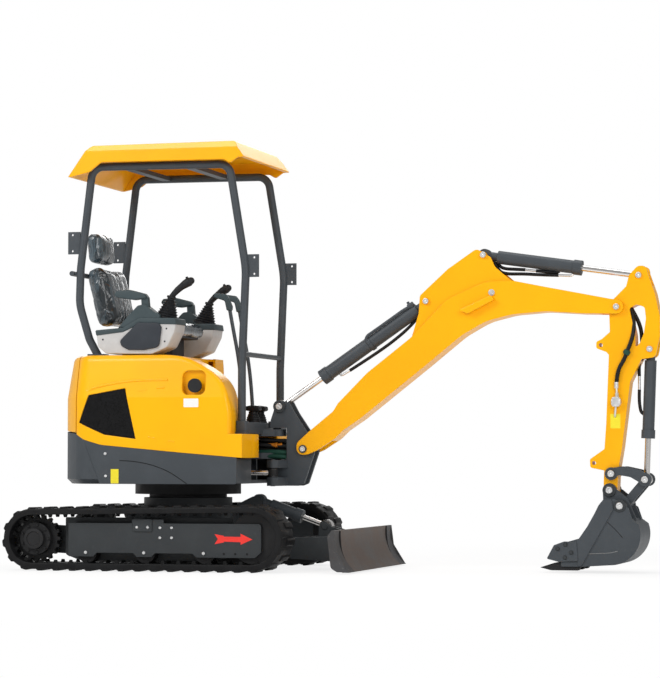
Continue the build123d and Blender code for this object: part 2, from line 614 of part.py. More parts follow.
# Rear hood over the engine
hood = shell - plate(below_seam, -THROUGH, THROUGH) - shell_inside
hood &= plate([(x, z + HOOD_GAP, *r) for x, z, *r in above_seam], -THROUGH, THROUGH)
hood &= box(-THROUGH, HOOD_SEAM, -THROUGH, THROUGH, 0, THROUGH)
hood += disc_y(HOOD_HINGE, 8, -HOOD_ARM_HALF, HOOD_ARM_HALF)
hood += box(HOOD_SEAM - 5, HOOD_HINGE[0], -HOOD_ARM_HALF, HOOD_ARM_HALF, HOUSE_TOP - PANEL, HOUSE_TOP)
nodes["rear_hood"] = hood
nodes["engine_block"] = box(-515, -300, -230, 230, HOUSE_LOW + 20, 880)

# Consoles, seat and controls
CONSOLE_FACE = [(-385, 1225, 20), (-400, 1315, 10), (-240, 1325), (-141, 1378), (71, 1375), (62, 1300), (18, 1217, 20),
                (-71, 1178), (-337, 1180)]
console = plate(CONSOLE_FACE, -430, -250)
nodes["console_right"] = console + box(-330, -80, -400, -320, HOUSE_TOP, 1182)
nodes["console_left"] = other(nodes["console_right"])
nodes["seat_base"] = slab([(-400, -230, 40), (60, -230, 80), (60, 230, 80), (-400, 230, 40)], DECK_Z, 1290)
nodes["seat_cushion"] = slab([(-380, -225, 60), (80, -215, 90), (80, 215, 90), (-380, 225, 60)], 1290 + FACE_GAP, 1400)
seat_back = plate([(-470, 1330, 30), (-530, 1660, 40), (-455, 1690, 40), (-385, 1402, 20), (-400, 1310)], -215, 215)
seat_back += plate([(-548, 1708, 30), (-566, 1872, 40), (-480, 1880, 40), (-470, 1720, 30)], -120, 120)
seat_back += both(bar((-500, 60, 1660), (-515, 60, 1730), 8))
nodes["seat_back"] = seat_back - nodes["seat_cushion"]
armrest = plate([(-300, 1480, 20), (-290, 1530, 20), (-120, 1520, 20), (-100, 1490, 14)], -425, -365)
armrest += box(-140, -110, -410, -380, 1376, 1500)
nodes["armrests"] = both(armrest - console)
stick = box(-75, 45, -390, -275, 1377, 1400) + bar((-15, -332, 1398), (16, -332, 1515), 40)
stick += bar((16, -332, 1510), (130, -332, 1625), 18)
nodes["joysticks"] = both(stick - console)
lever = box(322, 382, 70, 110, 780, 794) + bar((352, 90, 786), (270, 90, 1450), 11) + bar((270, 90, 1450), (262, 90, 1500), 20)
nodes["travel_levers"] = both(lever)

# Canopy: a bent tube on each side, the bars between them and the roof
POST_FRONT_X = COVER_FRONT + POST_R + 6
hoop_path = [(-404, HOUSE_TOP), (-455, 1266), (-514, 1460), (-508, 1660), (-440, 2222), (354, 2218),
             (450, 1640), (POST_FRONT_X, 1110), (POST_FRONT_X, FLOOR_Z)]
hoop_line = FilletPolyline([Vector(x, -POST_Y, z) for x, z in hoop_path],
                           radius=[140, 260, 260, 70, 70, 500, 500])
hoop = sweep(Plane(origin=hoop_line @ 0, z_dir=hoop_line % 0) * Circle(POST_R), path=hoop_line)
hoop -= box(hoop_path[1][0], hoop_path[0][0] + 100, -THROUGH, THROUGH, HOUSE_TOP - 100, HOUSE_TOP)
hoop += slab([(COVER_FRONT + 2, -POST_Y - POST_FOOT), (FRONT_X - 2, -POST_Y - POST_FOOT, 10),
              (FRONT_X - 2, -POST_Y + POST_FOOT, 10), (COVER_FRONT + 2, -POST_Y + POST_FOOT)], FLOOR_Z, FLOOR_Z + 12)
hoop += slab([(COVER_FRONT + 2, -POST_Y - POST_R - 6, 6), (POST_FRONT_X + POST_R + 8, -POST_Y - POST_R - 6, 6),
              (POST_FRONT_X + POST_R + 8, -POST_Y + POST_R + 6, 6), (COVER_FRONT + 2, -POST_Y + POST_R + 6, 6)],
             FLOOR_Z, FLOOR_Z + 72)
hoop += box(-452, -356, -POST_Y - POST_FOOT, -POST_Y + POST_FOOT, HOUSE_TOP, HOUSE_TOP + 8)
for tab_x, tab_z in (TAB_REAR, TAB_FRONT):
    tab = box(tab_x - TAB_HALF, tab_x + TAB_HALF, -POST_Y - 4, -POST_Y + 4, tab_z - 62, tab_z + 62)
    for dz in (-TAB_PITCH / 2, TAB_PITCH / 2):
        tab -= disc_y((tab_x + math.copysign(10, tab_x), tab_z + dz), TAB_HOLE_R, -POST_Y - 6, -POST_Y + 6)
    hoop += tab
nodes["canopy_hoops"] = both(hoop)
BAR_R = 14.0
bars = bar((-552, -POST_Y - 24, 1632), (-552, POST_Y + 24, 1632), BAR_R)
bars += both(bar((-552, -POST_Y, 1632), (-510, -POST_Y, 1632), BAR_R - 3))
bars += bar((POST_FRONT_X + 4, -POST_Y, 1178), (POST_FRONT_X + 4, POST_Y, 1178), BAR_R)
for x in (-250, 100):
    bars += box(x - 25, x + 25, -POST_Y, POST_Y, 2208, 2232)
nodes["canopy_bars"] = bars - nodes["canopy_hoops"]


def roof_form(inset):
    """The roof's outside, or its inside at an inset: leaning ends and sides below a flat top."""
    side = [(-557 + inset, 2100), (-557 + inset, 2164), (-435 + inset * 0.6, ROOF_TOP - 4 - inset, 30),
            (393, ROOF_TOP - inset, 24), (458 - inset * 1.4, 2252), (458 - inset * 1.4, 2100)]
    half = ROOF_HALF - inset
    across = [(-half, 2100), (-half + 4, ROOF_BAND), (-half + ROOF_SLOPE, ROOF_TOP - inset),
              (half - ROOF_SLOPE, ROOF_TOP - inset), (half - 4, ROOF_BAND), (half, 2100)]
    long = plate(side, -ROOF_HALF, ROOF_HALF)
    return long & extrude(Plane.YZ.offset(-600) * outline(across), 1200)


roof_hem = [(-640, 2060), (-640, 2160), (-540, 2164), (-435, 2186, 60), (-365, 2240, 30), (345, 2237, 30),
            (381, 2216, 16), (425, 2246, 16), (520, 2250), (520, 2060)]
nodes["canopy_roof"] = roof_form(0) - roof_form(ROOF_WALL) - plate(roof_hem, -THROUGH, THROUGH)

# Swing cylinder, in plan below the floor
def plan_view(point):
    return (point[0], point[1], SWING_CYL_Z)


swing_barrel, swing_rod = cylinder_pair(SWING_CYL_BASE, SWING_LUG, 390, 195, 125, plan_view, Vector(0, 0, 1),
                                        barrel_r=29, rod_r=15, half=20, eye_r=27, pin_r=13)
nodes["swing_cylinder_barrel"] = swing_barrel
nodes["swing_cylinder_rod"] = swing_rod
nodes["house_frame"] += disc_z(SWING_CYL_BASE[0], SWING_CYL_BASE[1], 13, HOUSE_LOW + 20, SWING_CYL_Z + 24)
nodes["house_frame"] -= Part() + [box(300, 400, -300, -100, HOUSE_LOW + 21, 604)]

# Swing bracket: side plates between a lower and an upper arm round the king pins
bracket_face = [(516, 875), (495, 812), (495, NOSE_TOP + 8), (590, NOSE_TOP + 8), (590, 612), (575, 600), (540, 600),
                (540, 458), (659, 458, 10), (690, 470, 14), (754, 655, 60), (708, 752, 60), (636, 858, 60),
                (600, 925, 10), (520, 925, 10)]
bracket = side_plates(bracket_face, BRACKET_HALF - BRACKET_PLATE, BRACKET_HALF)
for z0, z1 in ((458, 600), (NOSE_TOP + 8, NOSE_TOP + 44)):
    bracket += slab([(KING_X, -NOSE_R), (600, -BRACKET_HALF), (600, BRACKET_HALF), (KING_X, NOSE_R)], z0, z1)
    bracket += disc_z(KING_X, 0, NOSE_R, z0, z1)
bracket += box(590, 610, -54, 54, 458, NOSE_TOP + 44)
bracket += disc_z(KING_X, 0, KING_R, NOSE_LOW - 10, NOSE_LOW + 34) + disc_z(KING_X, 0, KING_R, NOSE_TOP - 38, NOSE_TOP + 60)
bracket -= box(487, 640, -30, 30, NOSE_TOP + 62, 960)
lug = slab([(600, -50), (SWING_LUG[0] + 34, -155, 20), (SWING_LUG[0], -172, 20), (SWING_LUG[0] - 34, -150, 20), (500, -50)],
           458, NOSE_LOW - 6)
lug -= box(420, 700, -190, -54, SWING_CYL_Z - 26, SWING_CYL_Z + 26)
bracket += lug + disc_z(SWING_LUG[0], SWING_LUG[1], 13, 456, SWING_CYL_Z - 25) + disc_z(
    SWING_LUG[0], SWING_LUG[1], 13, SWING_CYL_Z + 25, NOSE_LOW - 2)
bracket += both(disc_y(BOOM_CYL_EYE, PIN_R, BRACKET_HALF - BRACKET_PLATE, BRACKET_HALF + 12))
bracket += disc_y(BOOM_FOOT, PIN_R + 5, -BOOM_HALF - 6, BOOM_HALF + 6)
nodes["swing_bracket"] = bracket

# Boom: a box beam, forked at both ends, with its cylinder gussets on top
boom_face = [(653, 693, 36), (653, 625, 36), (718, 632), (774, 655), (870, 716, 60), (918, 762), (1014, 826),
             (1383, 1114, 300), (1586, 1277, 300), (1720, 1352, 300), (1867, 1388, 300), (2053, 1402, 300),
             (2251, 1388), (2408, 1384), (2470, 1384, 36), (2470, 1455, 36), (2402, 1464), (2251, 1494),
             (2053, 1533, 200), (1867, 1571, 200), (1720, 1568, 200), (1505, 1476, 200), (1301, 1267, 200),
             (1055, 1077), (890, 912), (862, 868), (722, 755)]
beam = plate(boom_face, -BOOM_HALF, BOOM_HALF)
fork = BRACKET_HALF + MOVE_GAP
beam -= disc_y(BOOM_FOOT, 172, -fork, fork)
tip_fork = ARM_HALF + MOVE_GAP
beam -= disc_y(ARM_PIVOT, 100, -tip_fork, tip_fork)
beam -= disc_y(BOOM_FOOT, PIN_R + 5 + PIN_FIT, -BOOM_HALF - 1, BOOM_HALF + 1)
gusset_face = [(1300, 1262), (1342, 1399), (1349, 1498, 30), (1505, 1640), (1666, 1749, 30), (1744, 1702, 20),
               (1767, 1649, 60), (1854, 1575, 60), (1900, 1560), (1720, 1540), (1505, 1440)]
gusset = side_plates(gusset_face, GUSSET_HALF - GUSSET_PLATE, GUSSET_HALF)
beam += gusset - box(1200, 2000, -GUSSET_HALF + GUSSET_PLATE, GUSSET_HALF - GUSSET_PLATE, 1200, 1500)
beam += disc_y(BOOM_CYL_BASE, PIN_R, -GUSSET_HALF - 10, GUSSET_HALF + 10)
beam += disc_y(ARM_CYL_BASE, PIN_R, -GUSSET_HALF - 10, GUSSET_HALF + 10)
beam += disc_y(ARM_PIVOT, PIN_R + 3, -BOOM_HALF - 6, BOOM_HALF + 6)
nodes["boom"] = beam

boom_barrel, boom_rod = cylinder_pair(BOOM_CYL_BASE, BOOM_CYL_EYE, 730, 400, 190, side_view, Vector(0, 1, 0))
nodes["boom_cylinder_barrel"] = boom_barrel
nodes["boom_cylinder_rod"] = boom_rod
arm_barrel, arm_rod = cylinder_pair(ARM_CYL_BASE, ARM_CYL_EYE, 539, 250, 205, side_view, Vector(0, 1, 0), barrel_r=36)
nodes["arm_cylinder_barrel"] = arm_barrel
nodes["arm_cylinder_rod"] = arm_rod
bucket_barrel, bucket_rod = cylinder_pair(BUCKET_CYL_BASE, LINK_PIN, 478, 220, 175, side_view, Vector(0, 1, 0),
                                          barrel_r=32, rod_r=16, eye_r=30)
nodes["bucket_cylinder_barrel"] = bucket_barrel
nodes["bucket_cylinder_rod"] = bucket_rod

# Arm: a tapering box, forked at its head and at the bucket cylinder's lugs
arm_face = [(2546, 1640, 30), (2500, 1592), (2484, 1531), (2392, 1440), (2392, 1386), (2395, 1287), (2352, 1250),
            (2321, 1235, 14), (2321, 1200, 14), (2375, 1180), (2389, 1164), (2373, 796), (2363, 660),
            (2284, 605, 14), (2286, 560, 14), (2361, 545), (2358, 480), (2360, 405, 33), (2430, 405, 33),
            (2436, 540), (2459, 673), (2503, 1016), (2521, 1053), (2565, 1140), (2640, 1150, 30), (2650, 1200),
            (2664, 1259, 60), (2664, 1369, 80), (2638, 1492), (2600, 1600), (2596, 1640, 30)]
stick_arm = plate(arm_face, -ARM_HALF, ARM_HALF)
stick_arm -= disc_y(ARM_PIVOT, PIN_R + 3 + PIN_FIT, -ARM_HALF - 1, ARM_HALF + 1)
stick_arm -= disc_y(ARM_CYL_EYE, 92, -EYE_HALF - MOVE_GAP, EYE_HALF + MOVE_GAP)
stick_arm -= disc_y(BUCKET_CYL_BASE, 78, -EYE_HALF - 2, EYE_HALF + 2)
window = [(2500, 1412, 14), (2516, 1341, 120), (2532, 1269, 120), (2533, 1200, 6), (2556, 1226, 20), (2578, 1277, 90),
          (2590, 1357, 90), (2583, 1418, 20), (2540, 1434, 30)]
stick_arm -= plate(window, -ARM_HALF - 1, ARM_HALF + 1)
stick_arm += disc_y(BUCKET_CYL_BASE, PIN_R, -ARM_HALF - 6, ARM_HALF + 6)
stick_arm += both(disc_y(ARM_CYL_EYE, PIN_R, EYE_HALF + MOVE_GAP, ARM_HALF + 6))
stick_arm += disc_y(GUIDE_PIN, PIN_R - 1, -GUIDE_INNER - GUIDE_PLATE - 6, GUIDE_INNER + GUIDE_PLATE + 6)
for place in (THUMB_UPPER, THUMB_LOWER):
    stick_arm -= disc_y(place, 11, -ARM_HALF - 1, ARM_HALF + 1)
stick_arm -= disc_y(BUCKET_PIN, PIN_R + PIN_FIT, -ARM_HALF - 1, ARM_HALF + 1)
nodes["arm"] = stick_arm

# Guide links and the link between them and the bucket
guide_face = [(2378, 556), (2416, 561, 40), (2469, 568, 60), (2556, 549, 60), (2606, 518, 10), (2600, 478),
              (2562, 470), (2546, 486, 12), (2505, 510, 40), (2442, 521, 20), (2416, 502), (2378, 502)]
guide = side_plates(guide_face, GUIDE_INNER, GUIDE_INNER + GUIDE_PLATE)
guide += bosses(GUIDE_PIN, 34, GUIDE_INNER, GUIDE_INNER + GUIDE_PLATE)
guide += bosses(LINK_PIN, 36, GUIDE_INNER, GUIDE_INNER + GUIDE_PLATE)
guide -= disc_y(GUIDE_PIN, PIN_R - 1 + PIN_FIT, -EAR_INNER, EAR_INNER)
guide += both(disc_y(LINK_PIN, PIN_R - 1, GUIDE_INNER, GUIDE_INNER + GUIDE_PLATE + 6))
nodes["guide_links"] = guide

ux, uz = (LINK_PIN[0] - BUCKET_LINK_PIN[0]), (LINK_PIN[1] - BUCKET_LINK_PIN[1])
span = math.hypot(ux, uz)
h_body = Pos(BUCKET_LINK_PIN[0], 0, BUCKET_LINK_PIN[1]) * Rot(0, -math.degrees(math.atan2(uz, ux)), 0) * (
    box(0, span, -ARM_HALF, ARM_HALF, -27, 19) - box(50, span + 40, -EYE_HALF - 6, EYE_HALF + 6, -40, 40))
h_body += disc_y(BUCKET_LINK_PIN, 28, -ARM_HALF, ARM_HALF)
h_body += both(disc_y(LINK_PIN, 25, EYE_HALF + 6, ARM_HALF))
h_body -= disc_y(BUCKET_LINK_PIN, PIN_R + PIN_FIT, -ARM_HALF - 1, ARM_HALF + 1)
nodes["h_link"] = h_body

# Bucket: a curved shell between side plates, with ears, lip, side cutters and teeth
def bucket_face(front, radius, back_turn, top):
    """Side-view face: from the lip's first point, round the back, up and along the top points."""
    low = (BUCKET_BACK[0], BUCKET_BACK[1] - radius)
    turn = math.radians(back_turn)
    end = (BUCKET_BACK[0] + radius * math.cos(turn), BUCKET_BACK[1] + radius * math.sin(turn))
    middle = (BUCKET_BACK[0] + radius * math.cos(-0.6), BUCKET_BACK[1] + radius * math.sin(-0.6))
    return make_face([Polyline(front[0], *front[1:], low), ThreePointArc(low, middle, end),
                      Polyline(end, *top, front[0])])


def across_bucket(face, half):
    return extrude(Plane.XZ.offset(-half) * face, 2 * half)


bucket_inner = BUCKET_HALF - BUCKET_WALL
mouth = [(2376, 391), (2352, 362), (2330, 318), (2289, 246), (2245, 184)]
bucket = across_bucket(bucket_face([(2146, 44), (2150, 34), (2254, 34)], BUCKET_BACK_R, 20,
                                   [(2531, 284), (2509, 348), (2434, 396), *mouth, (2160, 160)]), BUCKET_HALF)
bucket -= plate([(2534, 288), (2446, 313), (2398, 350), (2352, 386), (2352, 480), (2600, 480)], -bucket_inner, bucket_inner)
ear_face = [(2362, 384), (2360, 440), (2395, 466), (2440, 440, 40), (2494, 396, 40), (2516, 340), (2542, 282),
            (2440, 300), (2388, 340)]
bucket += side_plates(ear_face, EAR_INNER, EAR_INNER + EAR_PLATE)
bucket += bosses(BUCKET_PIN, 37, EAR_INNER, EAR_INNER + EAR_PLATE)
bucket -= across_bucket(bucket_face([(2000, 54)], BUCKET_BACK_R - BUCKET_WALL, 20,
                                    [(2522, 276), (2440, 303), (2390, 341), (2338, 378), (2000, 378)]), bucket_inner)
bucket += bosses(BUCKET_PIN, 36, ARM_HALF + MOVE_GAP, EAR_INNER)
bucket += bosses(BUCKET_LINK_PIN, 36, ARM_HALF + MOVE_GAP, EAR_INNER)
strip_face = [*mouth, (2226, 172), (2240, 40), (2258, 38), (2430, 340), (2420, 392)]
bucket += side_plates(strip_face, BUCKET_HALF, BUCKET_HALF + STRIP)
cutter_face = [(2072, 76, 6), (2111, 148, 8), (2165, 168), (2232, 168), (2240, 66), (2134, 60, 10)]
bucket += side_plates(cutter_face, BUCKET_HALF, BUCKET_HALF + CUTTER)
bucket += disc_y(BUCKET_PIN, PIN_R, -EAR_INNER - EAR_PLATE - 6, EAR_INNER + EAR_PLATE + 6)
bucket += disc_y(BUCKET_LINK_PIN, PIN_R, -EAR_INNER - EAR_PLATE - 6, EAR_INNER + EAR_PLATE + 6)
nodes["bucket"] = bucket
tooth_pitch = 2 * (BUCKET_HALF - TOOTH_HALF - 8) / (TOOTH_COUNT - 1)
tooth_face = [(2033, 29), (2091, 14, 60), (2240, 14, 8), (2250, 34), (2156, 36), (2150, 62), (2110, 54, 30)]
teeth = Part()
for count in range(TOOTH_COUNT):
    y = (count - (TOOTH_COUNT - 1) / 2) * tooth_pitch
    teeth += plate(tooth_face, y - TOOTH_HALF, y + TOOTH_HALF)
nodes["bucket_teeth"] = teeth - bucket

# Every node is written with the origin under the middle of the whole machine's box
whole = Compound([solid for shape in nodes.values() for solid in shape.solids()]).bounding_box()
MIDDLE_X = (whole.min.X + whole.max.X) / 2
FLOOR = whole.min.Z

if __name__ == "__main__":
    os.makedirs("parts", exist_ok=True)
    for name, shape in nodes.items():
        placed = Pos(-MIDDLE_X, 0, -FLOOR) * Compound(shape.solids())
        export_step(placed, f"parts/{name}.step")
    print("middle", round(MIDDLE_X, 3), "floor", round(FLOOR, 3), "size", whole.size)
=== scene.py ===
import json
import math

import bmesh
import bpy
from bpy.props import FloatProperty, FloatVectorProperty, IntProperty, PointerProperty
from mathutils import Matrix, Vector, noise


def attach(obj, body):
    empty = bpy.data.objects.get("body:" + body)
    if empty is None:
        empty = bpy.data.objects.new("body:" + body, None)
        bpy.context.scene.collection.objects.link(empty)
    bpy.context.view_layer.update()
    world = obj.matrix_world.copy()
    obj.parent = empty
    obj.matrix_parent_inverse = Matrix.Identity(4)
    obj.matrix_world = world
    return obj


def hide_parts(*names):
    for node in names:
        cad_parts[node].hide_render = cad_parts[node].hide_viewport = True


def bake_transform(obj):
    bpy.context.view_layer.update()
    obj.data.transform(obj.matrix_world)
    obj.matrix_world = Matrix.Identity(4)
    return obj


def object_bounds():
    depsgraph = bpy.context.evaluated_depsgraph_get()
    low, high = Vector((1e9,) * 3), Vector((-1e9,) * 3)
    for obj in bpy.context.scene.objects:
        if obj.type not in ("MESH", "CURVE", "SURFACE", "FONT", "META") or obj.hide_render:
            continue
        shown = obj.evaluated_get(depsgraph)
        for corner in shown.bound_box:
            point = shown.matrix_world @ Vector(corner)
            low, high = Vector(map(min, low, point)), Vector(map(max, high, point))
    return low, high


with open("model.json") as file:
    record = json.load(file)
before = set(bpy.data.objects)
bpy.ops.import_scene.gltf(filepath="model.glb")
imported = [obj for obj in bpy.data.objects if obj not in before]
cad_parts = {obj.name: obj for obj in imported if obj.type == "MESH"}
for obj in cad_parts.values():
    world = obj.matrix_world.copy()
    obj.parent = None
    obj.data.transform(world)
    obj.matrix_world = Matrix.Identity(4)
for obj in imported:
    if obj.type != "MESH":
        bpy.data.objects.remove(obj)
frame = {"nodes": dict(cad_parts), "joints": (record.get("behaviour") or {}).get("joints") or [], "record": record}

bl_info = {
    "name": "Mini Excavator Dressing",
    "version": (1, 0, 0),
    "blender": (4, 5, 0),
    "location": "View3D > Sidebar > Excavator",
    "description": "Dresses the packed mini excavator: tracks, seat, controls, stickers, hoses, paint and studio",
    "category": "Object",
}

cad_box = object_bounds()

# Places are written in millimetres from the slew axis on the ground: +X ahead, +Y left, +Z up
RING_TOP = 392.0
slew_at = next(j for j in frame["joints"] if j["name"] == "slew")["pos_m"]
AXIS_X = slew_at[0]
GROUND = slew_at[2] - RING_TOP / 1000


def spot(x, y, z):
    """A place in the frame's metres."""
    return Vector((AXIS_X + x / 1000, y / 1000, GROUND + z / 1000))


def spread(x, y, z):
    """A length along each axis, in metres."""
    return Vector((x / 1000, y / 1000, z / 1000))


# Paint and surface finishes
class Term:
    """A shader value that can be used in an expression."""

    def __init__(self, finish, socket):
        self.finish, self.socket = finish, socket

    def _math(self, operation, first, second):
        return self.finish.node("ShaderNodeMath", {"operation": operation}, {0: first, 1: second})

    def __add__(self, other):
        return self._math("ADD", self, other)

    def __radd__(self, other):
        return self._math("ADD", other, self)

    def __sub__(self, other):
        return self._math("SUBTRACT", self, other)

    def __rsub__(self, other):
        return self._math("SUBTRACT", other, self)

    def __mul__(self, other):
        return self._math("MULTIPLY", self, other)

    def __rmul__(self, other):
        return self._math("MULTIPLY", other, self)


class Finish:
    """A material made from nodes, reading the object's own coordinates."""

    def __init__(self, name):
        self.material = bpy.data.materials.new(name)
        self.material.use_nodes = True
        self.tree = self.material.node_tree
        self.tree.nodes.clear()
        self.shader = self.tree.nodes.new("ShaderNodeBsdfPrincipled")
        out = self.tree.nodes.new("ShaderNodeOutputMaterial")
        self.tree.links.new(self.shader.outputs[0], out.inputs["Surface"])
        self.place = self.node("ShaderNodeTexCoord", output="Object")

    def node(self, kind, settings=None, sockets=None, output=0):
        made = self.tree.nodes.new(kind)
        for key, value in (settings or {}).items():
            setattr(made, key, value)
        for key, value in (sockets or {}).items():
            if isinstance(value, Term):
                self.tree.links.new(value.socket, made.inputs[key])
            else:
                made.inputs[key].default_value = value
        return Term(self, made.outputs[output])

    def mapped(self, scale=(1, 1, 1), turn=(0, 0, 0)):
        return self.node("ShaderNodeMapping", sockets={"Vector": self.place, "Scale": scale, "Rotation": turn})

    def noise(self, scale, detail=2.0, roughness=0.5, stretch=(1, 1, 1), distortion=0.0):
        place = self.place if stretch == (1, 1, 1) else self.mapped(stretch)
        return self.node("ShaderNodeTexNoise", sockets={"Vector": place, "Scale": scale, "Detail": detail,
                                                        "Roughness": roughness, "Distortion": distortion})

    def cells(self, scale):
        return self.node("ShaderNodeTexVoronoi", sockets={"Vector": self.place, "Scale": scale})

    def stripes(self, scale, turn=(0, 0, 0)):
        return self.node("ShaderNodeTexWave", {"bands_direction": "DIAGONAL"},
                         {"Vector": self.mapped(turn=turn), "Scale": scale})

    def between(self, value, low, high):
        """0 below low, 1 above high, smooth between."""
        return self.node("ShaderNodeMapRange", {"interpolation_type": "SMOOTHSTEP"},
                         {"Value": value, "From Min": low, "From Max": high})

    def blend(self, amount, first, second):
        return self.node("ShaderNodeMix", {"data_type": "RGBA"},
                         {0: amount, 6: self._shade(first), 7: self._shade(second)}, output=2)

    @staticmethod
    def _shade(value):
        return value if isinstance(value, Term) else (*value, 1.0)

    def rounded(self, radius):
        """Softens hard edges, as a fillet of this radius in millimetres does."""
        return self.node("ShaderNodeBevel", {"samples": 6}, {"Radius": radius / 1000})

    def bumped(self, height, millimetres, normal=None, strength=1.0):
        sockets = {"Height": height, "Distance": millimetres / 1000, "Strength": strength}
        if normal is not None:
            sockets["Normal"] = normal
        return self.node("ShaderNodeBump", sockets=sockets)

    def set(self, **sockets):
        for key, value in sockets.items():
            socket = self.shader.inputs[key.replace("_", " ")]
            if isinstance(value, Term):
                self.tree.links.new(value.socket, socket)
            elif socket.type == "RGBA":
                socket.default_value = (*value, 1.0)
            else:
                socket.default_value = value
        return self.material


def gloss_paint(name, colour, rounding=4.0, deeper=(0.86, 0.72, 1.0)):
    """Sprayed gloss paint: a slow drift of tone, orange peel and soft edges."""
    f = Finish(name)
    drift = f.noise(2.3, 3)
    darker = tuple(c * d for c, d in zip(colour, deeper))
    tone = f.blend(f.between(drift, 0.35, 0.75) * 0.35, colour, darker)
    dust = f.between(f.noise(38, 6, 0.7), 0.62, 0.8)
    peel = f.noise(520, 2) + f.noise(90, 3) * 0.6
    return f.set(Base_Color=tone, Roughness=0.26 + 0.22 * dust + 0.06 * drift, Coat_Weight=0.12,
                 Coat_Roughness=0.09, Specular_IOR_Level=0.2,
                 Normal=f.bumped(peel, 0.12, f.rounded(rounding), 0.35))


def satin_paint(name, colour, rounding=2.5, grain=0.25):
    """Powder coat on steel: a fine grain, with rubbed and dusty patches."""
    f = Finish(name)
    patches = f.noise(7, 5, 0.6)
    dust = f.between(f.noise(26, 6, 0.68), 0.56, 0.78)
    paler = tuple(c * 1.3 + 0.006 for c in colour)
    tone = f.blend(f.between(patches, 0.4, 0.75) * 0.35, colour, paler)
    tone = f.blend(dust * 0.08, tone, (0.2, 0.19, 0.175))
    skin = f.noise(760, 3) + f.noise(150, 2) * 0.5
    return f.set(Base_Color=tone, Roughness=0.36 + 0.2 * patches + 0.12 * dust, Specular_IOR_Level=0.26,
                 Normal=f.bumped(skin, grain, f.rounded(rounding), 0.5))


def cast_metal(name, colour, rounding=2.5):
    f = Finish(name)
    sand = f.noise(340, 5, 0.7)
    oil = f.between(f.noise(9, 5, 0.6), 0.45, 0.7)
    tone = f.blend(oil * 0.6, colour, tuple(c * 0.45 for c in colour))
    return f.set(Base_Color=tone, Metallic=0.3, Roughness=0.62 - 0.22 * oil, Specular_IOR_Level=0.3,
                 Normal=f.bumped(sand, 0.5, f.rounded(rounding), 0.6))


def worn_steel(name, colour, brown):
    """Blade steel: rolled, scuffed across, with warm stain and bright rubbed lines."""
    f = Finish(name)
    rub = f.noise(16, 6, 0.65, stretch=(1, 9, 1))
    stain = f.noise(5, 5, 0.6)
    lines = f.between(f.noise(42, 4, 0.7, stretch=(1, 14, 1)), 0.6, 0.72)
    tone = f.blend(f.between(stain, 0.36, 0.66) * 0.75, colour, brown)
    tone = f.blend(lines * 0.35, tone, (0.3, 0.29, 0.27))
    return f.set(Base_Color=tone, Metallic=0.55, Roughness=0.5 + 0.18 * rub - 0.14 * lines,
                 Normal=f.bumped(rub + lines * 0.3, 0.35, f.rounded(2.0), 0.5))


def track_rubber(name):
    """Moulded black rubber with a matt bloom and fine flow marks."""
    f = Finish(name)
    bloom = f.between(f.noise(11, 6, 0.65), 0.42, 0.72)
    flow = f.noise(120, 5, 0.6, stretch=(1, 3, 1))
    tone = f.blend(bloom * 0.7, (0.004, 0.004, 0.0045), (0.013, 0.0135, 0.0145))
    return f.set(Base_Color=tone, Roughness=0.5 + 0.28 * bloom, Specular_IOR_Level=0.22,
                 Normal=f.bumped(flow, 0.5, f.rounded(3.0), 0.45))


def plated_rod(name):
    """Hard chrome with a faint turned grain round the rod."""
    f = Finish(name)
    grain = f.noise(60, 3, 0.5, stretch=(9, 1, 9))
    return f.set(Base_Color=(0.74, 0.72, 0.7), Metallic=1.0, Roughness=0.16 + 0.05 * grain,
                 Normal=f.bumped(grain, 0.006, None, 0.3))


def zinc_plate(name):
    f = Finish(name)
    flake = f.cells(260)
    return f.set(Base_Color=f.blend(flake * 0.6, (0.78, 0.78, 0.77), (0.55, 0.56, 0.58)), Metallic=0.85,
                 Roughness=0.3 + 0.16 * flake, Normal=f.bumped(flake, 0.05, f.rounded(0.6), 0.4))


def moulded_plastic(name, colour, grain=0.35, rough=0.46):
    """Injection moulding: leather grain, with paler worn spots whose paler colour also paints a slight sheen."""
    f = Finish(name)
    pebbles = f.cells(620) + f.noise(380, 3) * 0.6
    rubbed = f.noise(12, 4, 0.6)
    paler = tuple(c * 1.18 + 0.004 for c in colour)
    # paler colour on worn spots: wear, and a painted sheen
    return f.set(Base_Color=f.blend(f.between(rubbed, 0.4, 0.7) * 0.6, colour, paler),
                 Roughness=rough + 0.16 * rubbed, Specular_IOR_Level=0.3,
                 Normal=f.bumped(pebbles, grain, f.rounded(2.0), 0.5))


def hose_rubber(name):
    f = Finish(name)
    wrap = f.noise(300, 3, 0.6)
    return f.set(Base_Color=(0.005, 0.005, 0.0055), Roughness=0.38 + 0.2 * wrap, Specular_IOR_Level=0.26,
                 Normal=f.bumped(wrap, 0.15, None, 0.5))


def woven_sleeve(name, colour):
    """Braided nylon sleeve: two crossing rows of strands."""
    f = Finish(name)
    one = f.stripes(90)
    two = f.stripes(90, (0, math.pi / 2, 0))
    strands = one * two
    return f.set(Base_Color=f.blend(strands, tuple(c * 0.35 for c in colour), colour), Roughness=0.72,
                 Normal=f.bumped(strands, 0.6, None, 0.8))


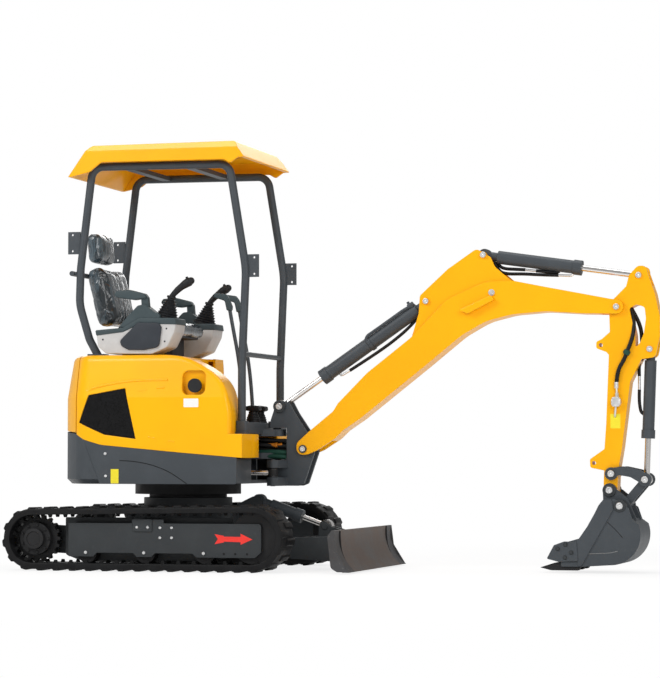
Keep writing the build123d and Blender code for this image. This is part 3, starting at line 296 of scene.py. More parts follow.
def seat_vinyl(name):
    """Black vinyl under loose clear film; its crease ridges and broad glare patches are painted pale blue-grey as
    highlights.
    """
    f = Finish(name)
    creases = f.noise(10, 6, 0.62, stretch=(1.0, 1.2, 0.24), distortion=1.0)
    fine = f.noise(42, 5, 0.6, stretch=(1, 1, 0.4), distortion=0.7)
    ridge = f.between(1.0 - (creases - 0.5) * (creases - 0.5) * 900, 0.0, 1.0)
    pebbles = f.cells(480)
    glare = f.between(f.noise(6, 4, 0.6, stretch=(1, 1, 0.4)), 0.48, 0.66)
    # painted highlight: crease ridges and glare patches coloured pale blue-grey, as light on the film
    tone = f.blend(ridge * 0.22 + glare * 0.1, (0.016, 0.022, 0.027), (0.22, 0.31, 0.37))
    return f.set(Base_Color=tone, Roughness=0.3 - 0.1 * glare, Coat_Weight=0.6, Coat_Roughness=0.1,
                 Normal=f.bumped(creases * 1.2 + fine * 0.35 + ridge * 0.06 + pebbles * 0.02, 4.0, None, 0.55))


def sticker_vinyl(name, colour, rough=0.35):
    f = Finish(name)
    print_grain = f.noise(700, 2)
    return f.set(Base_Color=f.blend(print_grain * 0.25, colour, tuple(c * 0.82 for c in colour)),
                 Roughness=rough + 0.1 * print_grain, Normal=f.bumped(print_grain, 0.02, None, 0.3))


def screen_mesh(name):
    """Black pressed screen with small round holes, too fine to be modelled one by one."""
    f = Finish(name)
    holes = f.between(f.cells(185), 0.32, 0.4)
    return f.set(Base_Color=f.blend(holes, (0.001, 0.001, 0.001), (0.007, 0.007, 0.0075)),
                 Roughness=0.55 + 0.35 * (1 - holes), Specular_IOR_Level=0.12,
                 Normal=f.bumped(holes, 1.0, None, 0.6))


# Shapes. An edge is bevelled past the first angle and shaded round below the second
SHARP_OVER = 32
SMOOTH_UNDER = 35


def corners(points, turns=6):
    """An outline's points, each third number opened into an arc of that radius."""
    out = []
    count = len(points)
    for i, point in enumerate(points):
        here = Vector(point[:2])
        if len(point) < 3 or point[2] <= 0:
            out.append(here)
            continue
        before = (Vector(points[i - 1][:2]) - here)
        after = (Vector(points[(i + 1) % count][:2]) - here)
        half = before.angle(after) / 2
        reach = min(point[2] / math.tan(half), 0.49 * before.length, 0.49 * after.length)
        radius = reach * math.tan(half)
        middle = here + (before.normalized() + after.normalized()).normalized() * (radius / math.sin(half))
        start, end = here + before.normalized() * reach, here + after.normalized() * reach
        a0 = math.atan2(start.y - middle.y, start.x - middle.x)
        sweep = math.atan2(end.y - middle.y, end.x - middle.x) - a0
        sweep = (sweep + math.pi) % (2 * math.pi) - math.pi
        out += [middle + radius * Vector((math.cos(a0 + sweep * k / turns), math.sin(a0 + sweep * k / turns)))
                for k in range(turns + 1)]
    return out


class Shape:
    """A piece being modelled, with all its places in millimetres from the slew axis."""

    def __init__(self):
        self.bm = bmesh.new()

    def block(self, x0, x1, y0, y1, z0, z1):
        middle = spot((x0 + x1) / 2, (y0 + y1) / 2, (z0 + z1) / 2)
        scale = Matrix.Diagonal((*spread(x1 - x0, y1 - y0, z1 - z0), 1))
        return bmesh.ops.create_cube(self.bm, size=1, matrix=Matrix.Translation(middle) @ scale)["verts"]

    def rod(self, start, end, radius, far_radius=None, sides=32):
        """A round bar, or a cone, between two places."""
        a, b = spot(*start), spot(*end)
        turn = (b - a).to_track_quat("Z", "Y").to_matrix().to_4x4()
        far = radius if far_radius is None else far_radius
        return bmesh.ops.create_cone(self.bm, cap_ends=True, segments=sides, radius1=radius / 1000,
                                     radius2=far / 1000, depth=(b - a).length,
                                     matrix=Matrix.Translation((a + b) / 2) @ turn)["verts"]

    def ball(self, centre, radius):
        return bmesh.ops.create_uvsphere(self.bm, u_segments=32, v_segments=18, radius=radius / 1000,
                                         matrix=Matrix.Translation(spot(*centre)))["verts"]

    def _pushed(self, ring, push):
        face = self.bm.faces.new(ring)
        made = bmesh.ops.extrude_face_region(self.bm, geom=[face])["geom"]
        verts = [g for g in made if isinstance(g, bmesh.types.BMVert)]
        bmesh.ops.translate(self.bm, vec=push, verts=verts)
        return ring + verts

    def plate(self, points, y0, y1):
        """A side-view outline from y0 to y1."""
        ring = [self.bm.verts.new(spot(p.x, y0, p.y)) for p in corners(points)]
        return self._pushed(ring, spread(0, y1 - y0, 0))

    def slab(self, points, z0, z1):
        """A plan outline from z0 to z1."""
        ring = [self.bm.verts.new(spot(p.x, p.y, z0)) for p in corners(points)]
        return self._pushed(ring, spread(0, 0, z1 - z0))

    def lathe(self, profile, base, direction, steps=40):
        """Turns (radius, distance) points round a line from base."""
        line = Vector(direction).normalized()
        side = line.orthogonal().normalized()
        verts = [self.bm.verts.new(spot(*base) + (side * r + line * d) / 1000) for r, d in profile]
        edges = [self.bm.edges.new(pair) for pair in zip(verts, verts[1:])]
        made = bmesh.ops.spin(self.bm, geom=verts + edges, cent=spot(*base), axis=line, angle=2 * math.pi,
                              steps=steps, use_merge=True)
        return made

    def tube(self, points, radius):
        """A hose or bent bar of one smooth line through control places."""
        curve = bpy.data.curves.new("line", "CURVE")
        curve.dimensions = "3D"
        curve.bevel_depth = radius / 1000
        curve.bevel_resolution = 4
        curve.use_fill_caps = True
        spline = curve.splines.new("NURBS")
        spline.points.add(len(points) - 1)
        for point, place in zip(spline.points, points):
            point.co = (*spot(*place), 1)
        spline.order_u = 3
        spline.use_endpoint_u = True
        spline.resolution_u = 10
        holder = bpy.data.objects.new("line", curve)
        mesh = bpy.data.meshes.new_from_object(holder)
        self.bm.from_mesh(mesh)
        bpy.data.objects.remove(holder)
        bpy.data.curves.remove(curve)
        bpy.data.meshes.remove(mesh)

    def bolt(self, place, axis, radius=9.0, height=7.0, washer=True):
        """A hexagon head on its washer, standing out along axis."""
        foot = Vector(place)
        out = Vector(axis)
        if washer:
            self.rod(foot, foot + out * 2.0, radius * 1.35, sides=24)
            foot = foot + out * 2.0
        self.rod(foot, foot + out * height, radius, radius * 0.96, sides=6)

    def dome(self, place, axis, radius=8.0, height=4.0):
        """A round button head."""
        self.lathe([(radius, 0), (radius * 0.96, height * 0.45), (radius * 0.7, height * 0.85), (0.01, height)],
                   place, axis, steps=20)

    def mirrored(self):
        """Adds the same shape on the machine's other side."""
        twin = bmesh.ops.duplicate(self.bm, geom=self.bm.verts[:] + self.bm.edges[:] + self.bm.faces[:])["geom"]
        bmesh.ops.scale(self.bm, vec=(1, -1, 1), verts=[g for g in twin if isinstance(g, bmesh.types.BMVert)])
        return self

    def soften(self, width, segments=3):
        """Bevels the sharp edges."""
        bmesh.ops.remove_doubles(self.bm, verts=self.bm.verts, dist=1e-6)
        bmesh.ops.recalc_face_normals(self.bm, faces=self.bm.faces)
        sharp = [e for e in self.bm.edges
                 if len(e.link_faces) == 2 and e.calc_face_angle(0) > math.radians(SHARP_OVER)]
        bmesh.ops.bevel(self.bm, geom=sharp, offset=width / 1000, offset_type="OFFSET", segments=segments,
                        profile=0.5, affect="EDGES", material=-1, clamp_overlap=True)
        return self

    def done(self, name, body, finish, slot=None, replaces=()):
        """Writes the piece, smooth apart from its sharp edges, on its body; given anything but a body's name, it is
        left on no body.
        """
        bmesh.ops.remove_doubles(self.bm, verts=self.bm.verts, dist=1e-6)
        bmesh.ops.recalc_face_normals(self.bm, faces=self.bm.faces)
        for face in self.bm.faces:
            face.smooth = True
        for edge in self.bm.edges:
            edge.smooth = len(edge.link_faces) == 2 and edge.calc_face_angle(0) < math.radians(SMOOTH_UNDER)
        mesh = bpy.data.meshes.new(name)
        self.bm.to_mesh(mesh)
        self.bm.free()
        piece = bpy.data.objects.new(name, mesh)
        bpy.context.scene.collection.objects.link(piece)
        mesh.materials.append(finishes[finish])
        if isinstance(body, str):
            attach(piece, body)
        else:
            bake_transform(piece)
        if replaces:
            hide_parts(*replaces)
        return piece


finishes = {}


# Values that a user would change
class DiggerColours(bpy.types.PropertyGroup):
    """Colours of the machine's paints and mouldings."""

    cover: FloatVectorProperty(name="Covers", description="Paint of the covers", subtype="COLOR", size=3,
                               min=0, max=1, default=(0.97, 0.465, 0.002))
    boom: FloatVectorProperty(name="Boom and arm", description="Paint of the boom and the arm", subtype="COLOR",
                              size=3, min=0, max=1, default=(0.97, 0.455, 0.002))
    roof: FloatVectorProperty(name="Roof", description="Paint of the canopy roof", subtype="COLOR", size=3,
                              min=0, max=1, default=(0.97, 0.44, 0.003))
    steel: FloatVectorProperty(name="Dark steel", description="Paint of the frame, canopy and bucket",
                               subtype="COLOR", size=3, min=0, max=1, default=(0.052, 0.06, 0.068))
    under: FloatVectorProperty(name="Undercarriage", description="Paint of the track frames", subtype="COLOR",
                               size=3, min=0, max=1, default=(0.034, 0.038, 0.041))
    console: FloatVectorProperty(name="Consoles", description="Moulding of the consoles", subtype="COLOR", size=3,
                                 min=0, max=1, default=(0.5, 0.49, 0.48))
    trim: FloatVectorProperty(name="Trim", description="Moulding of the console tops", subtype="COLOR", size=3,
                              min=0, max=1, default=(0.042, 0.06, 0.066))
    arrow: FloatVectorProperty(name="Arrow", description="Travel arrow on the track frame", subtype="COLOR",
                               size=3, min=0, max=1, default=(0.86, 0.03, 0.02))


class DiggerSizes(bpy.types.PropertyGroup):
    """Sizes of what dresses the machine."""

    lug_count: IntProperty(name="Track lugs", description="Lug pairs round each track", min=20, max=60, default=38)
    lug_height: FloatProperty(name="Lug height", description="Height of a lug", unit="LENGTH", default=0.008)
    belt: FloatProperty(name="Belt", description="Thickness of the track's belt", unit="LENGTH", default=0.034)
    bolt: FloatProperty(name="Bolt", description="Radius of a bolt's head", unit="LENGTH", default=0.0085)
    hose: FloatProperty(name="Hose", description="Radius of a hydraulic hose", unit="LENGTH", default=0.0085)
    voxel: FloatProperty(name="Cushion grid", description="Grid that the seat's cloth is made on", unit="LENGTH",
                         default=0.006)
    swell: FloatProperty(name="Cushion swell", description="Most that a cushion swells", unit="LENGTH",
                         default=0.012)
    lamp: FloatProperty(name="Lamps", description="Brightness of the studio lamps", min=0, default=1.0)


# Travel of the track: wheel centres and the belt's radii
REAR_WHEEL = Vector((-692, 172))
FRONT_WHEEL = Vector((556, 181))
TRACK_Y = 505.0
TRACK_WIDTH = 230.0
FRAME_FACE = TRACK_Y + 65

# The house: its flat side, the step ahead, where the sides start to lean in, and by how much
HOUSE_SIDE = 490.0
STEP_TOP = 742.0
WAIST = 940.0
LEAN = math.radians(9.5)
COVER_TOP = 1175.0
COVER_END = 60.0


class DIGGER_OT_finishes(bpy.types.Operator):
    """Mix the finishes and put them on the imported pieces"""
    bl_idname = "digger.finishes"
    bl_label = "Paint the packed pieces"

    def execute(self, context):
        c = context.scene.digger_colours
        steel, under = tuple(c.steel), tuple(c.under)
        finishes.update({
            "yellow_cover": gloss_paint("yellow_cover", tuple(c.cover), 9.0),
            "yellow_paint": gloss_paint("yellow_paint", tuple(c.boom), 3.5),
            "orange_paint": gloss_paint("orange_paint", tuple(c.boom), 3.5),
            "orange_roof": gloss_paint("orange_roof", tuple(c.roof), 10.0),
            "dark_grey_paint": satin_paint("dark_grey_paint", steel),
            "undercarriage_black": satin_paint("undercarriage_black", under, 3.0),
            "cast_steel": cast_metal("cast_steel", (0.02, 0.02, 0.021)),
            "blade_steel": worn_steel("blade_steel", (0.115, 0.105, 0.1), (0.12, 0.085, 0.065)),
            "blade_end_steel": worn_steel("blade_end_steel", (0.075, 0.076, 0.08), (0.06, 0.056, 0.055)),
            "rubber_track": track_rubber("rubber_track"),
            "chrome_rod": plated_rod("chrome_rod"),
            "zinc": zinc_plate("zinc"),
            "black_plastic": moulded_plastic("black_plastic", (0.01, 0.0105, 0.012)),
            "light_grey_plastic": moulded_plastic("light_grey_plastic", tuple(c.console)),
            "trim_plastic": moulded_plastic("trim_plastic", tuple(c.trim)),
            "shield_plastic": moulded_plastic("shield_plastic", (0.028, 0.033, 0.041)),
            "seat_cover": seat_vinyl("seat_cover"),
            "black_mesh": screen_mesh("black_mesh"),
            "hose": hose_rubber("hose"),
            "sleeve": woven_sleeve("sleeve", (0.003, 0.1, 0.062)),
            "brass": cast_metal("brass", (0.62, 0.2, 0.01)),
            "rubbed_steel": worn_steel("rubbed_steel", (0.22, 0.23, 0.235), (0.16, 0.15, 0.14)),
            "sticker_white": sticker_vinyl("sticker_white", (0.86, 0.85, 0.83)),
            "sticker_yellow": sticker_vinyl("sticker_yellow", (0.86, 0.72, 0.02)),
            "sticker_red": sticker_vinyl("sticker_red", tuple(c.arrow)),
        })
        slots = {part["node"]: part["material_slot"] for part in frame["record"]["subparts"]}
        for node, piece in frame["nodes"].items():
            piece.data.materials.clear()
            piece.data.materials.append(finishes["blade_end_steel" if node == "blade_ends" else slots[node]])
        return {"FINISHED"}


def belt_places(count, reach):
    """(centre, outward angle) round the belt's outside, reach millimetres from the wheel pitch line."""
    rear_r, front_r = REAR_WHEEL.y + reach, FRONT_WHEEL.y + reach
    run = (FRONT_WHEEL - REAR_WHEEL).length
    slope = math.atan2(FRONT_WHEEL.y - REAR_WHEEL.y, FRONT_WHEEL.x - REAR_WHEEL.x)
    tilt = math.asin((front_r - rear_r) / run)
    up, down = slope + math.pi / 2 + tilt, slope - math.pi / 2 - tilt
    straight = run * math.cos(tilt)
    spans = [straight, front_r * (up - down), straight, rear_r * (2 * math.pi - (up - down))]
    total = sum(spans)
    for step in range(count):
        s = total * step / count
        if s < spans[0]:
            turn = up
            middle = REAR_WHEEL.lerp(FRONT_WHEEL, s / spans[0])
            radius = rear_r + (front_r - rear_r) * s / spans[0]
        elif s < spans[0] + spans[1]:
            turn = up - (s - spans[0]) / front_r
            middle, radius = FRONT_WHEEL, front_r
        elif s < sum(spans[:3]):
            turn = down
            share = (s - spans[0] - spans[1]) / spans[2]
            middle = FRONT_WHEEL.lerp(REAR_WHEEL, share)
            radius = front_r + (rear_r - front_r) * share
        else:
            turn = down - (s - sum(spans[:3])) / rear_r
            middle, radius = REAR_WHEEL, rear_r
        yield step, middle + radius * Vector((math.cos(turn), math.sin(turn))), turn


class DIGGER_OT_tracks(bpy.types.Operator):
    """Mould the rubber tracks: belt, staggered lugs and inner guide lugs"""
    bl_idname = "digger.tracks"
    bl_label = "Rubber tracks"

    def belt(self, shape, side, thick, lug):
        """The belt's section pulled along the top, round the idler, back and round the sprocket."""
        bm = shape.bm
        half = TRACK_WIDTH / 2
        rear_r, front_r = REAR_WHEEL.y - lug, FRONT_WHEEL.y - lug
        run = FRONT_WHEEL - REAR_WHEEL
        slope = math.atan2(run.y, run.x)
        tilt = math.asin((front_r - rear_r) / run.length)
        up, down = slope + math.pi / 2 + tilt, slope - math.pi / 2 - tilt
        section = corners([(-half, rear_r - thick, 4), (-half, rear_r, 8), (half, rear_r, 8),
                           (half, rear_r - thick, 4)], 3)
        out = Vector((math.cos(up), math.sin(up)))
        start = [bm.verts.new(spot(REAR_WHEEL.x + out.x * p.y, side * TRACK_Y + p.x, REAR_WHEEL.y + out.y * p.y))
                 for p in section]
        edges = [bm.edges.new((a, b)) for a, b in zip(start, start[1:] + start[:1])]
        geom = start + edges

        def pull(geom, vec, steps):
            for _ in range(steps):
                made = bmesh.ops.extrude_edge_only(bm, edges=[g for g in geom if isinstance(g, bmesh.types.BMEdge)])
                verts = [g for g in made["geom"] if isinstance(g, bmesh.types.BMVert)]
                bmesh.ops.translate(bm, vec=vec / steps, verts=verts)
                geom = verts + [e for e in made["geom"] if isinstance(e, bmesh.types.BMEdge)
                                and all(v in verts for v in e.verts)]
            return geom

        def turn(geom, wheel, angle, steps):
            made = bmesh.ops.spin(bm, geom=geom, cent=spot(wheel.x, 0, wheel.y), axis=(0, 1, 0), angle=angle,
                                  steps=steps)
            return made["geom_last"]

        ahead = run + out * (front_r - rear_r)
        geom = pull(geom, spread(ahead.x, 0, ahead.y), 12)
        geom = turn(geom, FRONT_WHEEL, up - down, 40)
        under = Vector((math.cos(down), math.sin(down)))
        back = -run + under * (rear_r - front_r)
        geom = pull(geom, spread(back.x, 0, back.y), 12)
        turn(geom, REAR_WHEEL, 2 * math.pi - (up - down), 40)

    def lugs(self, shape, side, count, lug):
        half = TRACK_WIDTH / 2
        pattern = bmesh.new()
        holder = Shape()
        holder.bm.free()
        holder.bm = pattern
        foot = [(-24, -3), (-15, lug, 5), (15, lug, 5), (24, -3)]
        ring = [pattern.verts.new((p.x / 1000, 0, p.y / 1000)) for p in corners(foot, 2)]
        face = pattern.faces.new(ring)
        made = bmesh.ops.extrude_face_region(pattern, geom=[face])["geom"]
        far = [g for g in made if isinstance(g, bmesh.types.BMVert)]
        bmesh.ops.translate(pattern, vec=spread(0, half + 12, 0), verts=far)
        bmesh.ops.scale(pattern, vec=(0.82, 1, 0.9), verts=far)
        bmesh.ops.recalc_face_normals(pattern, faces=pattern.faces)
        bmesh.ops.bevel(pattern, geom=[e for e in pattern.edges if e.calc_face_angle(0) > 0.6], offset=0.0025,
                        offset_type="OFFSET", segments=2, profile=0.5, affect="EDGES", material=-1)
        mould = bpy.data.meshes.new("lug")
        pattern.to_mesh(mould)
        pattern.free()
        for step, place, turn in belt_places(count * 2, -lug):
            before = len(shape.bm.verts)
            shape.bm.from_mesh(mould)
            shape.bm.verts.ensure_lookup_table()
            fresh = shape.bm.verts[before:]
            outer = 1 if step % 2 else -1
            flip = Matrix.Rotation(0 if outer < 0 else math.pi, 4, "Z")
            stand = Matrix.Rotation(math.pi / 2 - turn, 4, "Y")
            at = spot(place.x, side * TRACK_Y + outer * half, place.y)
            bmesh.ops.transform(shape.bm, matrix=Matrix.Translation(at) @ stand @ flip, verts=fresh)
        bpy.data.meshes.remove(mould)

    def guides(self, shape, side, count, lug, thick):
        """Two rows of guide lugs inside the belt, either side of the rollers."""
        for step, place, turn in belt_places(count, -lug - thick + 1):
            for row in (-1, 1):
                made = bmesh.ops.create_cube(shape.bm, size=1)["verts"]
                bmesh.ops.scale(shape.bm, vec=spread(26, 9, 17), verts=made)
                inner = [v for v in made if v.co.z < 0]
                bmesh.ops.scale(shape.bm, vec=(0.6, 0.7, 1), verts=inner)
                at = spot(place.x, side * TRACK_Y + row * 55.5, place.y)
                inward = Vector((math.cos(turn), 0, math.sin(turn))) * -0.0085
                bmesh.ops.transform(shape.bm, verts=made, matrix=Matrix.Translation(at + inward)
                                    @ Matrix.Rotation(math.pi / 2 - turn, 4, "Y"))

    def execute(self, context):
        s = context.scene.digger_sizes
        lug, thick = s.lug_height * 1000, s.belt * 1000
        for side, word in ((-1, "right"), (1, "left")):
            shape = Shape()
            self.belt(shape, side, thick, lug)
            self.lugs(shape, side, s.lug_count, lug)
            self.guides(shape, side, s.lug_count, lug, thick)
            shape.done(f"rubber_track_{word}", "undercarriage", "rubber_track", replaces=[f"track_{word}"])
        return {"FINISHED"}


class DIGGER_OT_undercarriage(bpy.types.Operator):
    """Bolt heads, roller nuts, the top roller bracket and the travel arrow on each track frame"""
    bl_idname = "digger.undercarriage"
    bl_label = "Track frame fittings"

    def execute(self, context):
        bolt = context.scene.digger_sizes.bolt * 1000
        face = FRAME_FACE
        bolts = Shape()
        for x in (-395, -61, 278):
            bolts.bolt((x, -face, 100), (0, -1, 0), bolt * 1.1, 6, washer=False)
        for x, z in ((-100, 238), (-38, 238), (30, 236), (96, 236), (30, 182), (96, 182)):
            bolts.dome((x, -face - (7 if x < 0 else 0), z), (0, -1, 0), bolt * 0.95, 5)
        bolts.mirrored().done("track_frame_bolts", "undercarriage", "zinc", "cast_steel")
        bracket = Shape()
        bracket.plate([(-122, 214, 8), (-122, 282), (-14, 282), (-14, 214, 8)], -face - 7, -face)
        bracket.soften(2)
        bracket.mirrored().done("top_roller_brackets", "undercarriage", "undercarriage_black")
        # painted shade: thin black discs on the frame face stand for the shaded insides of its holes
        holes = Shape()
        for x in (392, 456, 522):
            holes.rod((x, -face - 0.4, 98), (x, -face + 0.2, 98), 6.5)
        holes.mirrored().done("plate_hole_shades", "undercarriage", "hose", "black_plastic")
        arrow = Shape()
        arrow.plate([(340, 204), (358, 178), (340, 150), (392, 160), (392, 164), (486, 162), (486, 148),
                     (552, 177), (486, 207), (486, 190), (392, 191), (392, 195)], -face - 0.7, -face + 0.2)
        arrow.mirrored().done("travel_arrows", "undercarriage", "sticker_red", "black_plastic")
        inner = Shape()
        inner.plate([(-545, 84, 20), (-545, 288, 10), (415, 288, 10), (415, 84, 20), (330, 56, 20), (-470, 56, 20)],
                    -TRACK_Y + 21, -TRACK_Y + 27)
        inner.mirrored().done("track_inner_plates", "undercarriage", "undercarriage_black")
        hubs = Shape()
        out = TRACK_Y + 79
        hubs.lathe([(58, 0), (56, 6), (40, 9), (38, 4), (0.01, 4)], (REAR_WHEEL.x, -out, REAR_WHEEL.y), (0, -1, 0))
        for count in range(9):
            turn = 2 * math.pi * count / 9
            hubs.bolt((REAR_WHEEL.x + 76 * math.cos(turn), -TRACK_Y - 59, REAR_WHEEL.y + 76 * math.sin(turn)),
                      (0, -1, 0), 7, 6)
        hubs.lathe([(40, 0), (38, 7), (0.01, 8)], (FRONT_WHEEL.x, -TRACK_Y - 46, FRONT_WHEEL.y), (0, -1, 0))
        hubs.mirrored().done("wheel_hubs", "undercarriage", "cast_steel")
        return {"FINISHED"}


class DIGGER_OT_house(bpy.types.Operator):
    """Stickers, bolt heads, body lines, painted crease shadows, the low left cover, the step and skirt fronts and the
    floor beam on the house
    """
    bl_idname = "digger.house"
    bl_label = "House fittings"

    def execute(self, context):
        bolt = context.scene.digger_sizes.bolt * 1000
        side = HOUSE_SIDE
        bolts = Shape()
        for x, z in ((-315, 635), (-312, 513)):
            bolts.dome((x, -side, z), (0, -1, 0), bolt, 5)
        bolts.mirrored().done("skirt_bolts", "house", "zinc", "cast_steel")
        labels = Shape()
        labels.plate([(-282, 457 + 16), (-282, 551), (-237, 551), (-237, 457 + 16)], -side - 0.6, -side + 0.2)
        labels.mirrored().done("skirt_labels", "house", "sticker_yellow", "black_plastic")
        plain = Shape()
        plain.plate([(136, 887, 4), (136, 934, 4), (220, 934, 4), (220, 887, 4)], -side - 0.6, -side + 0.2)
        plain.done("cover_label", "house", "sticker_white", "light_grey_plastic")
        # painted shade: thin black lines along the skirt where its creases lie in shadow
        crease_shadow = Shape()
        crease_shadow.tube([(-232, -side, 598), (-132, -side, 596), (16, -side, 556), (100, -side, 510),
                     (154, -side, 472)], 2.2)
        crease_shadow.mirrored().done("skirt_crease_shadows", "house", "hose", "black_plastic")
        lines = Shape()
        lines.tube([(-480, -446, 1034), (-440, -473, 988), (-416, -480, 976), (-385, -481, 997), (-300, -478, 1014),
                    (-211, -475, 1028), (-95, -473, 1036), (39, -473, 1036)], 6)
        for x, z, half in ((-100, 977, 22), (1, 990, 22)):
            lines.tube([(x - half, -480.5, z), (x, -480, z + 2), (x + half, -479.5, z + 4)], 5)
        for x, z in ((-47, 723), (68, 702)):
            lines.tube([(x - 18, -side + 3.6, z + 3), (x, -side + 3.4, z), (x + 18, -side + 3.6, z - 3)], 5)
        lines.done("cover_creases", "house", "yellow_cover")
        self.low_cover()
        fronts = Shape()
        fronts.block(455, 467, -303, -176, 612.5, 741.5)
        fronts.soften(3)
        fronts.mirrored().done("step_fronts", "house", "yellow_cover")
        returns = Shape()
        returns.block(424, 436, -488, -215, 474, 606)
        returns.soften(3)
        returns.mirrored().done("skirt_fronts", "house", "dark_grey_paint")
        beam = Shape()
        beam.block(403, 459, -392, 392, 742.5, 807)
        beam.soften(4)
        beam.done("floor_beam", "house", "dark_grey_paint")
        return {"FINISHED"}

    def low_cover(self):
        """The left cover, which stops behind the way in and leaves a low step ahead of it."""
        cover = Shape()
        for ahead in (False, True):
            before = set(cover.bm.verts)
            cover.bm.from_mesh(frame["nodes"]["side_cover_left"].data)
            fresh = [v for v in cover.bm.verts if v not in before]
            bmesh.ops.remove_doubles(cover.bm, verts=fresh, dist=1e-6)
            fresh = [v for v in cover.bm.verts if v not in before]
            self.cut(cover.bm, fresh, spot(COVER_END, 0, 0), Vector((-1 if ahead else 1, 0, 0)))
            if ahead:
                fresh = [v for v in cover.bm.verts if v not in before]
                self.cut(cover.bm, fresh, spot(0, 0, STEP_TOP), Vector((0, 0, 1)))
        inside = HOUSE_SIDE - 189
        cover.block(COVER_END - 14, COVER_END, inside, HOUSE_SIDE - 2, STEP_TOP - 6, WAIST)
        upper = cover.block(COVER_END - 14, COVER_END, inside, HOUSE_SIDE - 2, WAIST, COVER_TOP)
        high = [v for v in upper if v.co.z > spot(0, 0, WAIST + 1).z and v.co.y > spot(0, 400, 0).y]
        bmesh.ops.translate(cover.bm, vec=spread(0, (WAIST - COVER_TOP) * math.tan(LEAN), 0), verts=high)
        cover.block(COVER_END - 4, 466, inside, HOUSE_SIDE - 1, STEP_TOP - 7, STEP_TOP - 0.5)
        cover.done("side_cover_low", "house", "yellow_cover", replaces=["side_cover_left"])

    @staticmethod
    def cut(bm, verts, place, outward):
        """Takes away what lies past a plane."""
        faces = {f for v in verts for f in v.link_faces}
        edges = {e for v in verts for e in v.link_edges}
        bmesh.ops.bisect_plane(bm, geom=list(verts) + list(edges) + list(faces), plane_co=place, plane_no=outward,
                               clear_outer=True)


class DIGGER_OT_seat(bpy.types.Operator):
    """Sew the seat: cushion, backrest and headrest, filled by a short cloth run"""
    bl_idname = "digger.seat"
    bl_label = "Seat"

    def pad(self, context, name, centre, size, tilt, squeeze, crown, stands_for, fill, creases):
        s = context.scene.digger_sizes
        shape = Shape()
        x, y, z = size
        made = bmesh.ops.create_cube(shape.bm, size=1)["verts"]
        bmesh.ops.scale(shape.bm, vec=spread(x, y, z), verts=made)
        bmesh.ops.bevel(shape.bm, geom=shape.bm.edges[:], offset=squeeze / 1000, offset_type="OFFSET", segments=5,
                        profile=0.5, affect="EDGES", material=-1, clamp_overlap=True)
        turn = Matrix.Rotation(math.radians(tilt), 4, "Y")
        bmesh.ops.transform(shape.bm, matrix=Matrix.Translation(spot(*centre)) @ turn, verts=shape.bm.verts)
        piece = shape.done(name, "house", "seat_cover", replaces=[stands_for] if stands_for else ())
        rest = piece.modifiers.new("grid", "REMESH")
        rest.mode, rest.voxel_size = "VOXEL", s.voxel
        self.applied(piece)
        start = [v.co.copy() for v in piece.data.vertices]
        cloth = piece.modifiers.new("fill", "CLOTH")
        cloth.settings.use_pressure = True
        cloth.settings.uniform_pressure_force = 4.0
        cloth.settings.effector_weights.gravity = 0.0
        cloth.settings.quality = 4
        for step in range(1, 21):
            context.scene.frame_set(step)
        self.applied(piece)
        context.scene.frame_set(1)
        inverse = (Matrix.Translation(spot(*centre)) @ turn).inverted()
        for vert, was in zip(piece.data.vertices, start):
            moved = vert.co - was
            if moved.length > s.swell:
                moved *= s.swell / moved.length
            local = inverse @ was
            across = local.y / (y / 2000)
            up = local.z / (z / 2000) if z > x else local.x / (x / 2000)
            swell = moved * (1.0 + crown * (1 - across * across) * (1 - up * up))
            sway = noise.noise(Vector((local.x * 18, local.y * 26, local.z * 7)))
            ridge = (1 - abs(noise.noise(Vector((local.x * 30, local.y * 34, local.z * 11 + 4))))) ** 8
            outward = (vert.co - spot(*centre)).normalized()
            vert.co = was + swell + outward * (sway * 2.2 + ridge * 3.0) * creases / 1000
        finer = piece.modifiers.new("finer", "SUBSURF")
        finer.levels = finer.render_levels = 1
        for face in piece.data.polygons:
            face.use_smooth = True
        return piece

    @staticmethod
    def applied(piece):
        depsgraph = bpy.context.evaluated_depsgraph_get()
        mesh = bpy.data.meshes.new_from_object(piece.evaluated_get(depsgraph))
        piece.modifiers.clear()
        old, piece.data = piece.data, mesh
        bpy.data.meshes.remove(old)

    def execute(self, context):
        base = Shape()
        base.slab([(-350, -150, 30), (-60, -130, 40), (-60, 130, 40), (-350, 150, 30)], 1174.5, 1284)
        base.slab([(-376, -205, 40), (10, -190, 60), (10, 190, 60), (-376, 205, 40)], 1279, 1291)
        base.soften(5)
        base.done("seat_pedestal", "house", "black_plastic", replaces=["seat_base"])
        self.pad(context, "seat_backrest", (-458, 0, 1512), (92, 400, 340), -14, 34, 0.5, "seat_back", 0.7, 1.0)
        self.pad(context, "seat_headrest", (-524, 0, 1793), (84, 252, 166), -6, 34, 0.3, None, 0.8, 0.8)
        self.pad(context, "seat_cushion_pad", (-166, 0, 1322), (408, 416, 58), -1, 26, 0.5, "seat_cushion",
                 0.75, 0.5)
        return {"FINISHED"}


